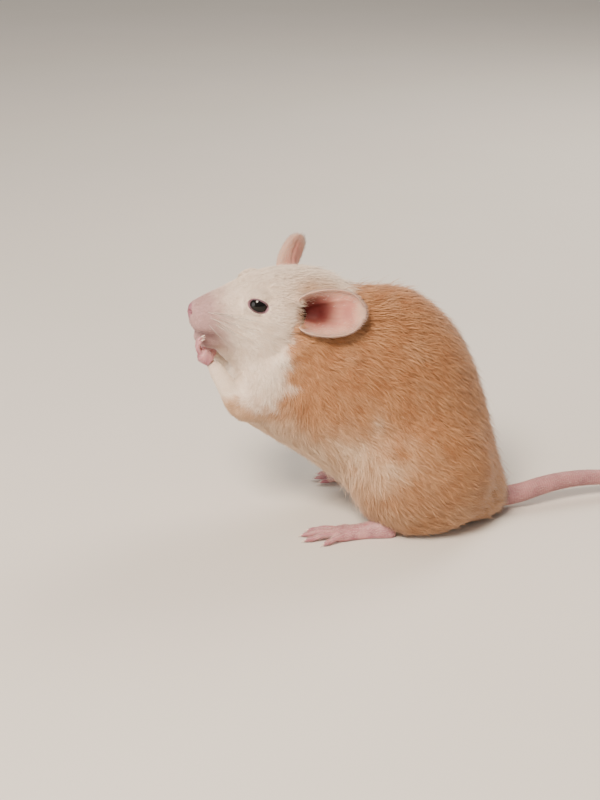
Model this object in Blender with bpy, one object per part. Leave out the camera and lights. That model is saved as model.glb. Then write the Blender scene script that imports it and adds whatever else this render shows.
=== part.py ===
"""Life-size pet mouse, sitting up on its haunches with both forepaws at its mouth.

The mouse looks along -X, its right side is +Y and up is +Z, and it rests on the floor at Z = 0.
Head, neck and torso are one skin of cross-sections carried along the spine, parted with thin cuts.
The legs, feet, ears, eyes and tail are solids of their own, and each is let into what it grows from.
"""

import math

import bmesh
import bpy
import numpy as np
from mathutils import Matrix, Vector

MM = 0.001

# The gap that is left between two neighbouring solids, and between an eye and its lids.
GAP = 0.3 * MM
EYE_GAP = 0.12 * MM

# The head: where the nose tip is, and how the head is turned. Places on the head are given
# from the nose tip, as back, to the mouse's right, and up.
NOSE_TIP = Vector((-43.4, -3.5, 46.0)) * MM
HEAD_YAW = math.radians(10.5)
HEAD_PITCH = math.radians(5.0)
HEAD_ROLL = math.radians(8.0)

# The eyes and lids. The lid's dome is flatter than the eyeball, so that the eye stands proud.
EYE_DIAMETER = 4.4 * MM
EYE_PLACE = Vector((13.3, 5.3, 4.0)) * MM
LID_RADIUS = 3.1 * MM
LID_DOME = 2.15 * MM
LID_HEIGHT = 2.79 * MM
LID_OPENING = (2.05 * MM, 1.4 * MM)
LID_SLANT = math.radians(14)
EYE_GAZE = Vector((-0.22, 1.0, 0.28))

# The lower jaw: an egg for the chin, under the muzzle, and one for the throat behind it.
JAW_EGGS = (
    (Vector((6.0, 0.0, -5.9)) * MM, Vector((4.6, 2.8, 2.6)) * MM),
    (Vector((11.6, 0.0, -9.0)) * MM, Vector((5.0, 3.6, 2.9)) * MM),
)

# The mouth and nostrils are grooves of these radii along lines on the skin. A line's point is its place
# along the spine, counted in key sections from the nose tip, and its degrees round from the crown. The
# philtrum runs down the middle, and has only the first.
MOUTH_GROOVE = 0.3 * MM
NOSTRIL_GROOVE = 0.27 * MM
MOUTH_LINE = ((1.6, 180), (2.35, 152), (3.1, 138), (3.8, 130))
NOSTRIL_LINE = ((0.15, 95), (0.7, 84), (1.15, 100))
PHILTRUM_LINE = (0.3, 0.9, 1.6)

# The ears: length along the middle, breadth along the skin, sheet thickness, the curl of the cup
# across its root and its tip, and how far the sheet starts in front of its chord and bends back.
EAR_LENGTH = 12.4 * MM
EAR_BREADTH = 11.2 * MM
EAR_THICKNESS = 0.7 * MM
EAR_ROOT_CURL = math.radians(190)
EAR_TIP_CURL = math.radians(50)
EAR_SET_FORWARD = 1.2 * MM
EAR_BEND_BACK = 1.6 * MM
EAR_PLACE = Vector((23.2, 7.0, 3.0)) * MM

# Breadth of the ear as a share of its greatest, at shares of its length.
EAR_OUTLINE = ((0, 0.8), (0.2, 0.97), (0.42, 1), (0.63, 0.94), (0.82, 0.79), (0.93, 0.57), (1, 0.28))

# Length axis of each ear and the way that its cup opens. The left is laid back, and the right is pricked.
EAR_AIMS = {
    "left": (Vector((0.89, -0.42, 0.17)), Vector((-0.35, -0.88, 0.32))),
    "right": (Vector((0.10, 0.85, 0.50)), Vector((-0.94, 0.25, 0.05))),
}

# The forelegs' joints: shoulder, elbow, wrist and the knuckles of the paw.
LEFT_FORELEG = (
    Vector((-24.0, -7.0, 31.0)) * MM,
    Vector((-32.4, -8.5, 26.1)) * MM,
    Vector((-38.6, -7.5, 35.9)) * MM,
    Vector((-41.1, -7.0, 38.1)) * MM,
)
RIGHT_FORELEG = (
    Vector((-24.0, 7.0, 31.0)) * MM,
    Vector((-32.4, 7.0, 26.1)) * MM,
    Vector((-38.6, 3.4, 33.9)) * MM,
    Vector((-40.8, 2.6, 35.8)) * MM,
)
UPPER_ARM_RADIUS = 3.9 * MM
ELBOW_RADIUS = 2.9 * MM
FOREARM_RADIUS = 2.15 * MM
WRIST_RADIUS = 1.5 * MM

# The forepaws: half width of the palm from the wrist to the knuckles and how thick it is for its width,
# then each finger's place across the knuckles and its length.
PALM_RADII = np.array([1.4, 1.8, 2.3, 2.1]) * MM
PALM_FLATNESS = 0.75
FINGERS = ((-1.15, 2.4), (-0.4, 2.8), (0.4, 2.8), (1.15, 2.3))
FINGER_RADIUS = 0.5 * MM

# A curled finger, as shares of its length: how far it reaches ahead, how far it curls down, and its
# thickness as a share of the finger's radius. It ends in the point of the claw.
FINGER_SHAPE = ((0, 0, 1.05), (0.45, 0.10, 1), (0.80, 0.34, 1), (0.92, 0.72, 0.95), (0.90, 0.98, 0.32))

# The hind legs: the haunch is an egg, and the foot is set out from the heel.
HAUNCH_CENTRE = Vector((3.6, 10.6, 13.4)) * MM
HAUNCH_SIZE = Vector((15.0, 8.3, 14.4)) * MM
LEFT_HEEL = Vector((-1.2, -13.0, 0.0)) * MM
RIGHT_HEEL = Vector((1.8, 13.0, 0.0)) * MM
FOOT_TURN_OUT = math.radians(5.0)

# The sole in millimetres from the heel to the roots of the toes: forward, half width and height. It starts
# a little below the floor and is cut off level with it.
SOLE_ROWS = (
    (0.0, 0.9, 2.2),
    (0.5, 1.5, 2.9),
    (1.6, 1.85, 3.5),
    (3.6, 1.8, 3.7),
    (6.2, 1.7, 3.1),
    (8.6, 2.0, 2.6),
    (10.8, 2.5, 2.35),
    (12.2, 2.5, 2.1),
    (13.0, 1.9, 1.7),
)
SOLE_SINK = 0.25 * MM
SOLE_WIDEST = 0.62

# The toes: each root's place forward and outward, the turn outward in degrees, and the length.
TOES = (
    (8.6, -1.5, -30, 3.9),
    (11.6, -1.55, -11, 6.6),
    (12.0, -0.45, -2, 7.5),
    (11.8, 0.75, 8, 7.3),
    (10.4, 1.75, 24, 5.4),
)
TOE_RADIUS = 0.62 * MM

# A toe at shares of its length: height of its middle in millimetres, and thickness as a share of the radius.
TOE_SHAPE = (
    (0.0, 1.05, 1.15),
    (0.3, 1.25, 1.05),
    (0.55, 1.15, 0.95),
    (0.74, 0.75, 0.9),
    (0.84, 0.72, 1.0),
    (0.93, 0.6, 0.55),
    (1.0, 0.3, 0.22),
)

# The tail: length and diameters, and its route in millimetres, which starts inside the rump, leaves with
# a low arch and ends lying on the floor.
TAIL_LENGTH = 84.0 * MM
TAIL_ROOT_DIAMETER = 4.5 * MM
TAIL_TIP_DIAMETER = 1.2 * MM
TAIL_TAPER = 0.85
TAIL_PARTS = 4
TAIL_SINK = 0.12 * MM
TAIL_ON_FLOOR = 58.0 * MM
TAIL_ROUTE = (
    (19.0, 0.0, 2.6),
    (23.0, 0.2, 2.8),
    (26.6, 0.9, 3.3),
    (30.8, 2.3, 4.1),
    (35.3, 4.0, 4.5),
    (39.7, 5.4, 4.5),
    (44.2, 6.5, 4.2),
    (51.0, 7.7, 3.1),
    (58.0, 8.3, 1.9),
    (66.0, 8.0, 1.4),
    (74.0, 6.6, 1.2),
    (82.0, 4.2, 1.0),
    (90.0, 1.0, 0.8),
    (98.0, -2.6, 0.7),
    (106.0, -6.6, 0.6),
)

# Key cross-sections of the head in millimetres: back and height of the top, the same of the bottom, then
# waist, half width and squareness, in the head's own axes.
HEAD_ROWS = (
    (0.0, 0.7, 0.0, -1.2, 0.45, 1.0, 2.2),
    (0.8, 1.5, 0.4, -2.7, 0.50, 2.1, 2.2),
    (2.0, 2.2, 1.3, -4.0, 0.54, 3.2, 2.2),
    (4.2, 3.4, 3.3, -4.8, 0.55, 4.1, 2.2),
    (7.2, 4.8, 6.0, -5.6, 0.54, 4.8, 2.1),
    (11.0, 6.4, 7.8, -7.2, 0.52, 6.1, 2.1),
    (15.0, 8.0, 9.4, -8.8, 0.50, 7.8, 2.1),
    (19.2, 9.0, 10.2, -10.4, 0.50, 9.2, 2.1),
    (23.4, 9.4, 10.2, -12.2, 0.50, 9.9, 2.1),
    (27.8, 9.0, 9.6, -14.6, 0.50, 10.4, 2.1),
)

# Key cross-sections of the trunk in millimetres: X and Z of the back and of the belly, then the same three.
TRUNK_ROWS = (
    (-10.8, 49.8, -36.2, 28.6, 0.50, 11.2, 2.1),
    (-5.0, 49.4, -34.8, 23.0, 0.53, 12.2, 2.1),
    (0.8, 48.8, -28.6, 18.4, 0.55, 13.4, 2.1),
    (6.6, 45.2, -21.0, 13.8, 0.56, 14.4, 2.1),
    (12.2, 38.6, -14.2, 9.0, 0.58, 15.0, 2.2),
    (16.4, 29.0, -8.0, 4.2, 0.60, 15.0, 2.2),
    (19.2, 19.0, -1.0, 0.3, 0.60, 14.2, 2.2),
    (21.2, 11.0, 8.0, -0.7, 0.58, 12.0, 2.2),
    (22.7, 6.9, 16.5, -0.6, 0.55, 8.4, 2.1),
    (23.7, 4.9, 21.5, 0.4, 0.50, 3.4, 2.0),
)

# Where the head and the neck end, counted in key sections from the nose tip.
HEAD_END, NECK_END = 8.4, 11.0

# Facet counts.
BODY_SIDES = 32
LIMB_SIDES = 14
EYE_SIDES = 16
HAUNCH_SIDES = 24
DIGIT_SIDES = 7
TAIL_SIDES = 10
GROOVE_RINGS, LIMB_RINGS, DIGIT_RINGS = 12, 14, 10
EAR_ROWS, EAR_COLUMNS = 11, 10

# Rings of a round end, the angle from the end that they start at, and the least share of the radius there.
CAP_RINGS, CAP_START, CAP_LEAST = 4, 0.19, 0.1
HEAD_RINGS, NECK_RINGS, TORSO_RINGS = 30, 6, 26


def clear_scene():
    for obj in list(bpy.data.objects):
        bpy.data.objects.remove(obj)


def material(name, colour, roughness):
    made = bpy.data.materials.new(name)
    made.use_nodes = True
    shader = made.node_tree.nodes["Principled BSDF"]
    shader.inputs["Base Color"].default_value = (*colour, 1.0)
    shader.inputs["Roughness"].default_value = roughness
    shader.inputs["Metallic"].default_value = 0.0
    return made


def through(knots, values, at):
    """Smooth curve through values at the knots: cubics between them, with slopes from the neighbours."""
    knots, values, at = np.asarray(knots, float), np.asarray(values, float), np.asarray(at, float)
    slopes = np.gradient(values, knots, axis=0)
    cell = np.clip(np.searchsorted(knots, at, side="right") - 1, 0, len(knots) - 2)
    width = knots[cell + 1] - knots[cell]
    t = (at - knots[cell]) / width
    shape = (-1,) + (1,) * (values.ndim - 1)
    t, width = t.reshape(shape), width.reshape(shape)
    return (
        (2 * t**3 - 3 * t**2 + 1) * values[cell]
        + (t**3 - 2 * t**2 + t) * width * slopes[cell]
        + (3 * t**2 - 2 * t**3) * values[cell + 1]
        + (t**3 - t**2) * width * slopes[cell + 1]
    )


def lengths_along(points):
    """Running length of a line of points, or of rings by the mean distance between neighbours."""
    steps = np.linalg.norm(np.diff(points, axis=0), axis=-1)
    if steps.ndim == 2:
        steps = steps.mean(axis=1)
    return np.concatenate([[0.0], np.cumsum(steps)])


def unit(vector):
    return vector / np.linalg.norm(vector)


def mesh_object(name, points, faces, finish=None):
    mesh = bpy.data.meshes.new(name)
    mesh.from_pydata([tuple(p) for p in points], [], faces)
    obj = bpy.data.objects.new(name, mesh)
    bpy.context.scene.collection.objects.link(obj)
    if finish:
        mesh.materials.append(finish)
    work = bmesh.new()
    work.from_mesh(mesh)
    bmesh.ops.recalc_face_normals(work, faces=work.faces)
    work.to_mesh(mesh)
    work.free()
    mesh.shade_smooth()
    return obj


def loft(name, rings, finish=None):
    """Closed solid through rings of equal point count, with a fan of triangles at each end."""
    rings = np.asarray(rings)
    count, sides = rings.shape[:2]
    points = [*rings.reshape(-1, 3), rings[0].mean(axis=0), rings[-1].mean(axis=0)]
    first, last = count * sides, count * sides + 1
    faces = []
    for j in range(sides):
        k = (j + 1) % sides
        for i in range(0, (count - 1) * sides, sides):
            faces.append((i + j, i + k, i + sides + k, i + sides + j))
        faces.append((first, k, j))
        faces.append((last, last - 1 - sides + j, last - 1 - sides + k))
    return mesh_object(name, points, faces, finish)


def section(top, bottom, side, waist, half_width, squareness, sides=BODY_SIDES):
    """Egg-shaped ring: two half superellipses that meet at the widest place, a share waist down."""
    angle = np.arange(sides) * 2 * math.pi / sides
    power = 2 / squareness
    up = np.maximum(np.cos(angle), 0) ** power
    down = np.maximum(-np.cos(angle), 0) ** power
    out = np.sign(np.sin(angle)) * np.abs(np.sin(angle)) ** power
    top, bottom, side = np.array(top), np.array(bottom), np.array(side)
    middle = top + waist * (bottom - top)
    return (
        middle
        + up[:, None] * (top - middle)
        + down[:, None] * (bottom - middle)
        + (half_width * out)[:, None] * side
    )


def tube_rings(path, radii, count, sides, flat=1.0, side_axis=(0, 1, 0), ends_round=(False, True)):
    """Rings along a smooth path. A ring is a circle, or an ellipse flat times as thick across the side axis,
    and a round end is drawn in over its own radius as a half circle."""
    path, radii = np.array(path, float), np.array(radii, float)
    along = lengths_along(path)
    end = along[-1]
    places = np.linspace(0, end, count)
    cap = 1 - np.cos(np.linspace(CAP_START, math.pi / 2, CAP_RINGS))
    if ends_round[1]:
        places = np.concatenate([places[places < end - radii[-1]], end - radii[-1] * cap[::-1]])
    if ends_round[0]:
        places = np.concatenate([radii[0] * cap, places[places > radii[0]]])
    centres = through(along, path, places)
    sizes = np.interp(places, along, radii)
    for is_round, left in zip(ends_round, (places / radii[0], (end - places) / radii[-1])):
        if is_round:
            sizes = sizes * np.sqrt(np.maximum(1 - (1 - np.clip(left, 0, 1)) ** 2, CAP_LEAST**2))
    ahead = np.gradient(centres, places, axis=0)
    ahead /= np.linalg.norm(ahead, axis=1)[:, None]
    side = np.array(side_axis, float)[None] - (ahead @ np.array(side_axis, float))[:, None] * ahead
    side /= np.linalg.norm(side, axis=1)[:, None]
    up = np.cross(side, ahead)
    angle = np.arange(sides) * 2 * math.pi / sides
    across = np.cos(angle)[None, :, None] * side[:, None]
    over = np.sin(angle)[None, :, None] * up[:, None] * flat
    return centres[:, None] + sizes[:, None, None] * (across + over)


def applied(obj):
    """Replaces an object's mesh with what its modifiers make of it."""
    graph = bpy.context.evaluated_depsgraph_get()
    mesh = bpy.data.meshes.new_from_object(obj.evaluated_get(graph))
    obj.modifiers.clear()
    obj.data = mesh
    return obj


def keep_largest(obj):
    """Keeps only the largest closed surface of a mesh."""
    work = bmesh.new()
    work.from_mesh(obj.data)
    left, islands = set(work.verts), []
    while left:
        island, edge = set(), [left.pop()]
        while edge:
            vert = edge.pop()
            island.add(vert)
            near = {e.other_vert(vert) for e in vert.link_edges} & left
            left -= near
            edge.extend(near)
        islands.append(island)
    islands.sort(key=len)
    for island in islands[:-1]:
        bmesh.ops.delete(work, geom=list(island), context="VERTS")
    work.to_mesh(obj.data)
    work.free()
    return obj


def fuse(name, pieces, finish):
    """One closed solid from overlapping closed pieces."""
    base, rest = pieces[0], pieces[1:]
    group = bpy.data.collections.new(name + "_pieces")
    for piece in rest:
        group.objects.link(piece)
    union = base.modifiers.new("Join", "BOOLEAN")
    union.operation = "UNION"
    union.operand_type = "COLLECTION"
    union.collection = group
    bpy.context.view_layer.update()
    applied(base)
    for piece in rest:
        bpy.data.objects.remove(piece)
    bpy.data.collections.remove(group)
    base.name = name
    base.data.materials.clear()
    base.data.materials.append(finish)
    return keep_largest(base)


def carve(obj, *cutters):
    """Cuts solids out of an object and removes them. EXACT leaves open edges at the thin rims here."""
    for cutter in cutters:
        cut = obj.modifiers.new("Cut", "BOOLEAN")
        cut.operation = "DIFFERENCE"
        cut.object = cutter
        cut.solver = "MANIFOLD"
        bpy.context.view_layer.update()
        applied(obj)
    for cutter in cutters:
        bpy.data.objects.remove(cutter)
    return keep_largest(obj)


def stand_flat(obj):
    """Cuts an object off level with the floor, which leaves the small flat that it rests on."""
    work = bmesh.new()
    work.from_mesh(obj.data)
    geometry = [*work.verts, *work.edges, *work.faces]
    bmesh.ops.bisect_plane(
        work, geom=geometry, dist=1e-7, plane_co=(0, 0, 0), plane_no=(0, 0, 1), clear_inner=True
    )
    bmesh.ops.holes_fill(work, edges=[e for e in work.edges if e.is_boundary])
    bmesh.ops.recalc_face_normals(work, faces=work.faces)
    work.to_mesh(obj.data)
    work.free()
    return obj


def ball(name, centre, radii, frame=Matrix.Identity(4), sides=20, finish=None):
    """Sphere or egg with its own radii along the axes of a frame."""
    rows = sides // 2
    lift = np.linspace(-1, 1, rows + 1)[1:-1] * math.pi / 2
    angle = np.arange(sides) * 2 * math.pi / sides
    rings = np.empty((rows - 1, sides, 3))
    rings[..., 0] = np.cos(lift)[:, None] * np.cos(angle)
    rings[..., 1] = np.cos(lift)[:, None] * np.sin(angle)
    rings[..., 2] = np.sin(lift)[:, None]
    obj = loft(name, rings, finish)
    poles = obj.data.vertices
    poles[len(poles) - 2].co = (0, 0, -1)
    poles[len(poles) - 1].co = (0, 0, 1)
    place = Matrix.Translation(centre) @ frame.to_3x3().to_4x4() @ Matrix.Diagonal((*radii, 1))
    obj.data.transform(place)
    return obj


def head_frame():
    """Matrix from the head's own axes (back from the nose tip, to its right, up) to the world."""
    turn = (
        Matrix.Rotation(HEAD_YAW, 4, "Z")
        @ Matrix.Rotation(HEAD_PITCH, 4, "Y")
        @ Matrix.Rotation(HEAD_ROLL, 4, "X")
    )
    return Matrix.Translation(NOSE_TIP) @ turn


def body_rings():
    """Key cross-sections from the nose tip to the tail root."""
    frame = head_frame()
    right = frame.to_3x3() @ Vector((0, 1, 0))
    rings = []
    for top_back, top_up, low_back, low_up, waist, half, square in HEAD_ROWS:
        upper = frame @ (Vector((top_back, 0, top_up)) * MM)
        lower = frame @ (Vector((low_back, 0, low_up)) * MM)
        rings.append(section(upper, lower, right, waist, half * MM, square))
    for top_x, top_z, low_x, low_z, waist, half, square in TRUNK_ROWS:
        upper = Vector((top_x, 0, top_z)) * MM
        lower = Vector((low_x, 0, low_z)) * MM
        rings.append(section(upper, lower, Vector((0, 1, 0)), waist, half * MM, square))
    return np.array(rings)


BODY_RINGS = body_rings()
BODY_ALONG = lengths_along(BODY_RINGS)


def spine_place(section_number):
    """Length along the spine of a key section, or of a place between two of them."""
    return np.interp(section_number, np.arange(len(BODY_ALONG)), BODY_ALONG)


def body_part(name, start, end, count, finish):
    """Length of the body's skin, closed with a flat at each cut."""
    return loft(name, through(BODY_ALONG, BODY_RINGS, np.linspace(start, end, count)), finish)


def on_skin(section_number, degrees_round):
    """Point of the skin at a place along the spine, degrees round from the crown, positive to the right."""
    ring = through(BODY_ALONG, BODY_RINGS, [spine_place(section_number)])[0]
    place = (degrees_round % 360) / 360 * BODY_SIDES
    near = int(place) % BODY_SIDES
    return ring[near] + (place - int(place)) * (ring[(near + 1) % BODY_SIDES] - ring[near])


def groove(name, points, radius):
    """Tube along a line on the skin, which cuts a groove of half its depth."""
    rings = tube_rings(points, [radius] * len(points), GROOVE_RINGS, DIGIT_SIDES, ends_round=(True, True))
    return loft(name, rings)


def side_sign(side):
    """The head's and body's right side is +Y, and its left side is -Y."""
    return -1 if side == "left" else 1


def jaw(frame, grow=0.0):
    more = Vector((grow, grow, grow))
    return [ball("jaw", frame @ place, size + more, frame) for place, size in JAW_EGGS]


def head(frame, finish):
    """Muzzle, cheeks and brow, with lids, mouth line, philtrum and nostrils."""
    face = body_part("head_face", 0, spine_place(HEAD_END), HEAD_RINGS, finish)
    lids, hollows = [], []
    for side in ("left", "right"):
        out = Vector((1, side_sign(side), 1))
        centre = frame @ (EYE_PLACE * out)
        lids.append(ball("lid", centre, (LID_RADIUS, LID_DOME, LID_HEIGHT), frame, EYE_SIDES))
        hollows.append(ball("socket", centre, [EYE_DIAMETER / 2 + EYE_GAP] * 3, frame, EYE_SIDES))
        along, over = LID_OPENING
        gaze = [centre, centre + EYE_DIAMETER * (frame.to_3x3() @ (EYE_GAZE * out))]
        corner = frame.to_3x3() @ Vector((math.cos(LID_SLANT), 0, -math.sin(LID_SLANT)))
        slit = tube_rings(gaze, [along] * 2, 2, EYE_SIDES, over / along, corner, (False, False))
        hollows.append(loft("lid_opening", slit))
        for line, radius in ((MOUTH_LINE, MOUTH_GROOVE), (NOSTRIL_LINE, NOSTRIL_GROOVE)):
            points = [on_skin(place, side_sign(side) * degrees) for place, degrees in line]
            hollows.append(groove("face_line", points, radius))
    hollows.append(groove("philtrum", [on_skin(place, 180) for place in PHILTRUM_LINE], NOSTRIL_GROOVE))
    return carve(fuse("head", [face, *jaw(frame), *lids], finish), *hollows)


def ear(name, side, root, length_axis, opening_axis, finish, grow=0.0):
    """Thin cup: an arc across, curled tightly at the root and opening to a shallow dish at the tip."""
    along = np.linspace(0, 1, EAR_ROWS)
    across = np.linspace(-1, 1, EAR_COLUMNS)
    shares, breadths = zip(*EAR_OUTLINE)
    half = EAR_BREADTH / 2 * np.interp(along, shares, breadths) + grow
    curl = EAR_ROOT_CURL + (EAR_TIP_CURL - EAR_ROOT_CURL) * np.sqrt(along)
    radius = 2 * half / curl
    angle = across[None, :] * curl[:, None] / 2
    lean = side_sign(side)
    long_axis = unit(np.array(length_axis))
    opening = np.array(opening_axis) - np.dot(opening_axis, long_axis) * long_axis
    opening = unit(opening)
    broad = np.cross(opening, long_axis) * lean
    backward = EAR_BEND_BACK * along**2 - EAR_SET_FORWARD
    sheet = (
        np.array(root)
        + long_axis * (EAR_LENGTH * along)[:, None, None]
        + broad * (radius[:, None] * np.sin(angle))[..., None]
        + opening * (radius[:, None] * (1 - np.cos(angle)) - backward[:, None])[..., None]
    )
    facing = opening * np.cos(angle)[..., None] - broad * np.sin(angle)[..., None]
    half_thick = (EAR_THICKNESS / 2 + grow) * facing
    front, back = sheet + half_thick, sheet - half_thick
    rows, columns = angle.shape
    points = np.concatenate([front.reshape(-1, 3), back.reshape(-1, 3)])
    behind = rows * columns
    faces = []
    for i in range(rows - 1):
        for j in range(columns - 1):
            a = i * columns + j
            faces.append((a, a + 1, a + columns + 1, a + columns))
            faces.append((behind + a + columns, behind + a + columns + 1, behind + a + 1, behind + a))
        for j, turn in ((0, 1), (columns - 1, -1)):
            a = i * columns + j
            faces.append((a, a + columns, behind + a + columns, behind + a)[::turn])
    for i, turn in ((0, -1), (rows - 1, 1)):
        for j in range(columns - 1):
            a = i * columns + j
            faces.append((a, a + 1, behind + a + 1, behind + a)[::turn])
    return mesh_object(name, points, faces, finish)


def foreleg(name, joints, finish, grow=0.0):
    """Upper arm from inside the chest to the elbow, and forearm up to a flat at the wrist."""
    shoulder, elbow, wrist, _ = (np.array(joint) for joint in joints)
    path = [shoulder, shoulder + 0.55 * (elbow - shoulder), elbow, (elbow + wrist) / 2, wrist]
    radii = np.array([UPPER_ARM_RADIUS, UPPER_ARM_RADIUS, ELBOW_RADIUS, FOREARM_RADIUS, WRIST_RADIUS]) + grow
    return loft(name, tube_rings(path, radii, LIMB_RINGS, LIMB_SIDES, ends_round=(True, False)), finish)


def forepaw(name, joints, side, finish):
    """Palm and four curled fingers with claws, from a flat at the wrist."""
    _, elbow, wrist, knuckles = (np.array(joint) for joint in joints)
    start = wrist + GAP * unit(wrist - elbow)
    reach = unit(knuckles - wrist)
    outward = np.array([0.25, side_sign(side), 0.0])
    outward = unit(outward - outward @ reach * reach)
    curl = unit(np.cross(outward, reach)) * side_sign(side)
    palm_path = [start + share * (knuckles - start) for share in (0, 0.35, 0.7, 1.05)]
    rings = tube_rings(palm_path, PALM_RADII, DIGIT_RINGS, LIMB_SIDES, PALM_FLATNESS, outward)
    pieces = [loft("palm", rings)]
    ahead, down, thickness = np.array(FINGER_SHAPE).T[..., None]
    for place, length in FINGERS:
        base = knuckles - 0.9 * MM * reach + place * MM * outward
        spread = 0.12 * place * np.sqrt(ahead) * outward
        finger = base + length * MM * (ahead * reach + down * curl + spread)
        rings = tube_rings(finger, thickness[:, 0] * FINGER_RADIUS, 7, DIGIT_SIDES, 1.0, outward)
        pieces.append(loft("finger", rings))
    return fuse(name, pieces, finish)


def foot_frame(side):
    """Matrix from the foot's axes (forward from the heel, outward, up) to the world."""
    sign = side_sign(side)
    ahead = Vector((-math.cos(FOOT_TURN_OUT), sign * math.sin(FOOT_TURN_OUT), 0))
    outward = Vector((math.sin(FOOT_TURN_OUT), sign * math.cos(FOOT_TURN_OUT), 0))
    heel = LEFT_HEEL if side == "left" else RIGHT_HEEL
    return Matrix.Translation(heel) @ Matrix((ahead, outward, (0, 0, 1))).transposed().to_4x4()


def sole(name, side, finish, grow=0.0):
    """Heel and instep, lofted from the heel to the roots of the toes."""
    frame = foot_frame(side)
    outward = frame.to_3x3() @ Vector((0, 1, 0))
    longer = {0: -grow, len(SOLE_ROWS) - 1: grow}
    rings = []
    for number, (ahead, half, height) in enumerate(SOLE_ROWS):
        place = ahead * MM + longer.get(number, 0)
        upper = frame @ Vector((place, 0, height * MM + grow))
        lower = frame @ Vector((place, 0, -SOLE_SINK - grow))
        rings.append(section(upper, lower, outward, SOLE_WIDEST, half * MM + grow, 2.3, LIMB_SIDES))
    rings = np.array(rings)
    along = lengths_along(rings)
    return loft(name, through(along, rings, np.linspace(0, along[-1], LIMB_RINGS)), finish)


def hind_foot(side, finish):
    """Long flat foot with five toes, each with its knuckle, pad and claw."""
    frame = foot_frame(side)
    pieces = [sole("sole", side, finish)]
    for ahead, out, turn, length in TOES:
        way = Vector((math.cos(math.radians(turn)), math.sin(math.radians(turn)), 0))
        root = Vector((ahead, out, 0)) * MM
        points = [
            frame @ (root + (length * share * way + Vector((0, 0, height))) * MM)
            for share, height, _ in TOE_SHAPE
        ]
        radii = [thickness * TOE_RADIUS for _, _, thickness in TOE_SHAPE]
        outward = frame.to_3x3() @ Vector((0, 1, 0))
        toe = tube_rings(points, radii, DIGIT_RINGS, DIGIT_SIDES, 1.0, outward, (False, False))
        pieces.append(loft("toe", toe))
    return stand_flat(fuse("hind_foot_" + side, pieces, finish))


def haunch(name, side, finish, grow=0.0):
    """Thigh and folded shank under the loose flank skin: an egg, fuller behind and below."""
    centre = HAUNCH_CENTRE * Vector((1, side_sign(side), 1))
    size = HAUNCH_SIZE + Vector((grow, grow, grow))
    return ball(name, centre, size, sides=HAUNCH_SIDES, finish=finish)


def tail_course():
    """Centres, radii and lengths along the whole tail."""
    route = np.array(TAIL_ROUTE) * MM
    along = lengths_along(route)
    places = np.linspace(0, TAIL_LENGTH, 41)
    centres = through(along, route, places)
    thinner = (TAIL_ROOT_DIAMETER - TAIL_TIP_DIAMETER) * (places / TAIL_LENGTH) ** TAIL_TAPER
    radii = (TAIL_ROOT_DIAMETER - thinner) / 2
    lying = centres[:, 0] > TAIL_ON_FLOOR
    centres[lying, 2] = np.minimum(centres[lying, 2], radii[lying])
    centres[:, 2] = np.maximum(centres[:, 2], radii - TAIL_SINK)
    return centres, radii, places


def tail(finish):
    centres, radii, places = tail_course()
    along = lengths_along(centres)
    cuts = np.linspace(0, TAIL_LENGTH, TAIL_PARTS + 1)
    for number in range(TAIL_PARTS):
        start = cuts[number] + (GAP / 2 if number else 0)
        end = cuts[number + 1] - (GAP / 2 if number < TAIL_PARTS - 1 else 0)
        inside = places[(places > start + 0.5 * MM) & (places < end - 0.5 * MM)]
        at = np.interp(np.concatenate([[start], inside, [end]]), places, along)
        path = through(along, centres, at)
        size = np.interp(at, along, radii)
        last = number == TAIL_PARTS - 1
        rings = tube_rings(path, size, len(path), TAIL_SIDES, ends_round=(False, last))
        stand_flat(loft(f"tail_{number + 1}", rings, finish))


def tail_root_hole():
    """The tail's first length, grown by the gap, which is cut out of the rump."""
    centres, radii, _ = tail_course()
    path, sizes = centres[:6] - np.array([GAP, 0, 0]), radii[:6] + GAP
    return loft("tail_hole", tube_rings(path, sizes, len(path), TAIL_SIDES, ends_round=(False, False)))


def recentre():
    """Moves everything so that the middle of the bounding box's underside is the origin."""
    corners = np.array([v.co for o in bpy.data.objects for v in o.data.vertices])
    low, high = corners.min(axis=0), corners.max(axis=0)
    shift = Vector((-(low[0] + high[0]) / 2, -(low[1] + high[1]) / 2, -low[2]))
    for obj in bpy.data.objects:
        obj.data.transform(Matrix.Translation(shift))
    return shift


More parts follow.
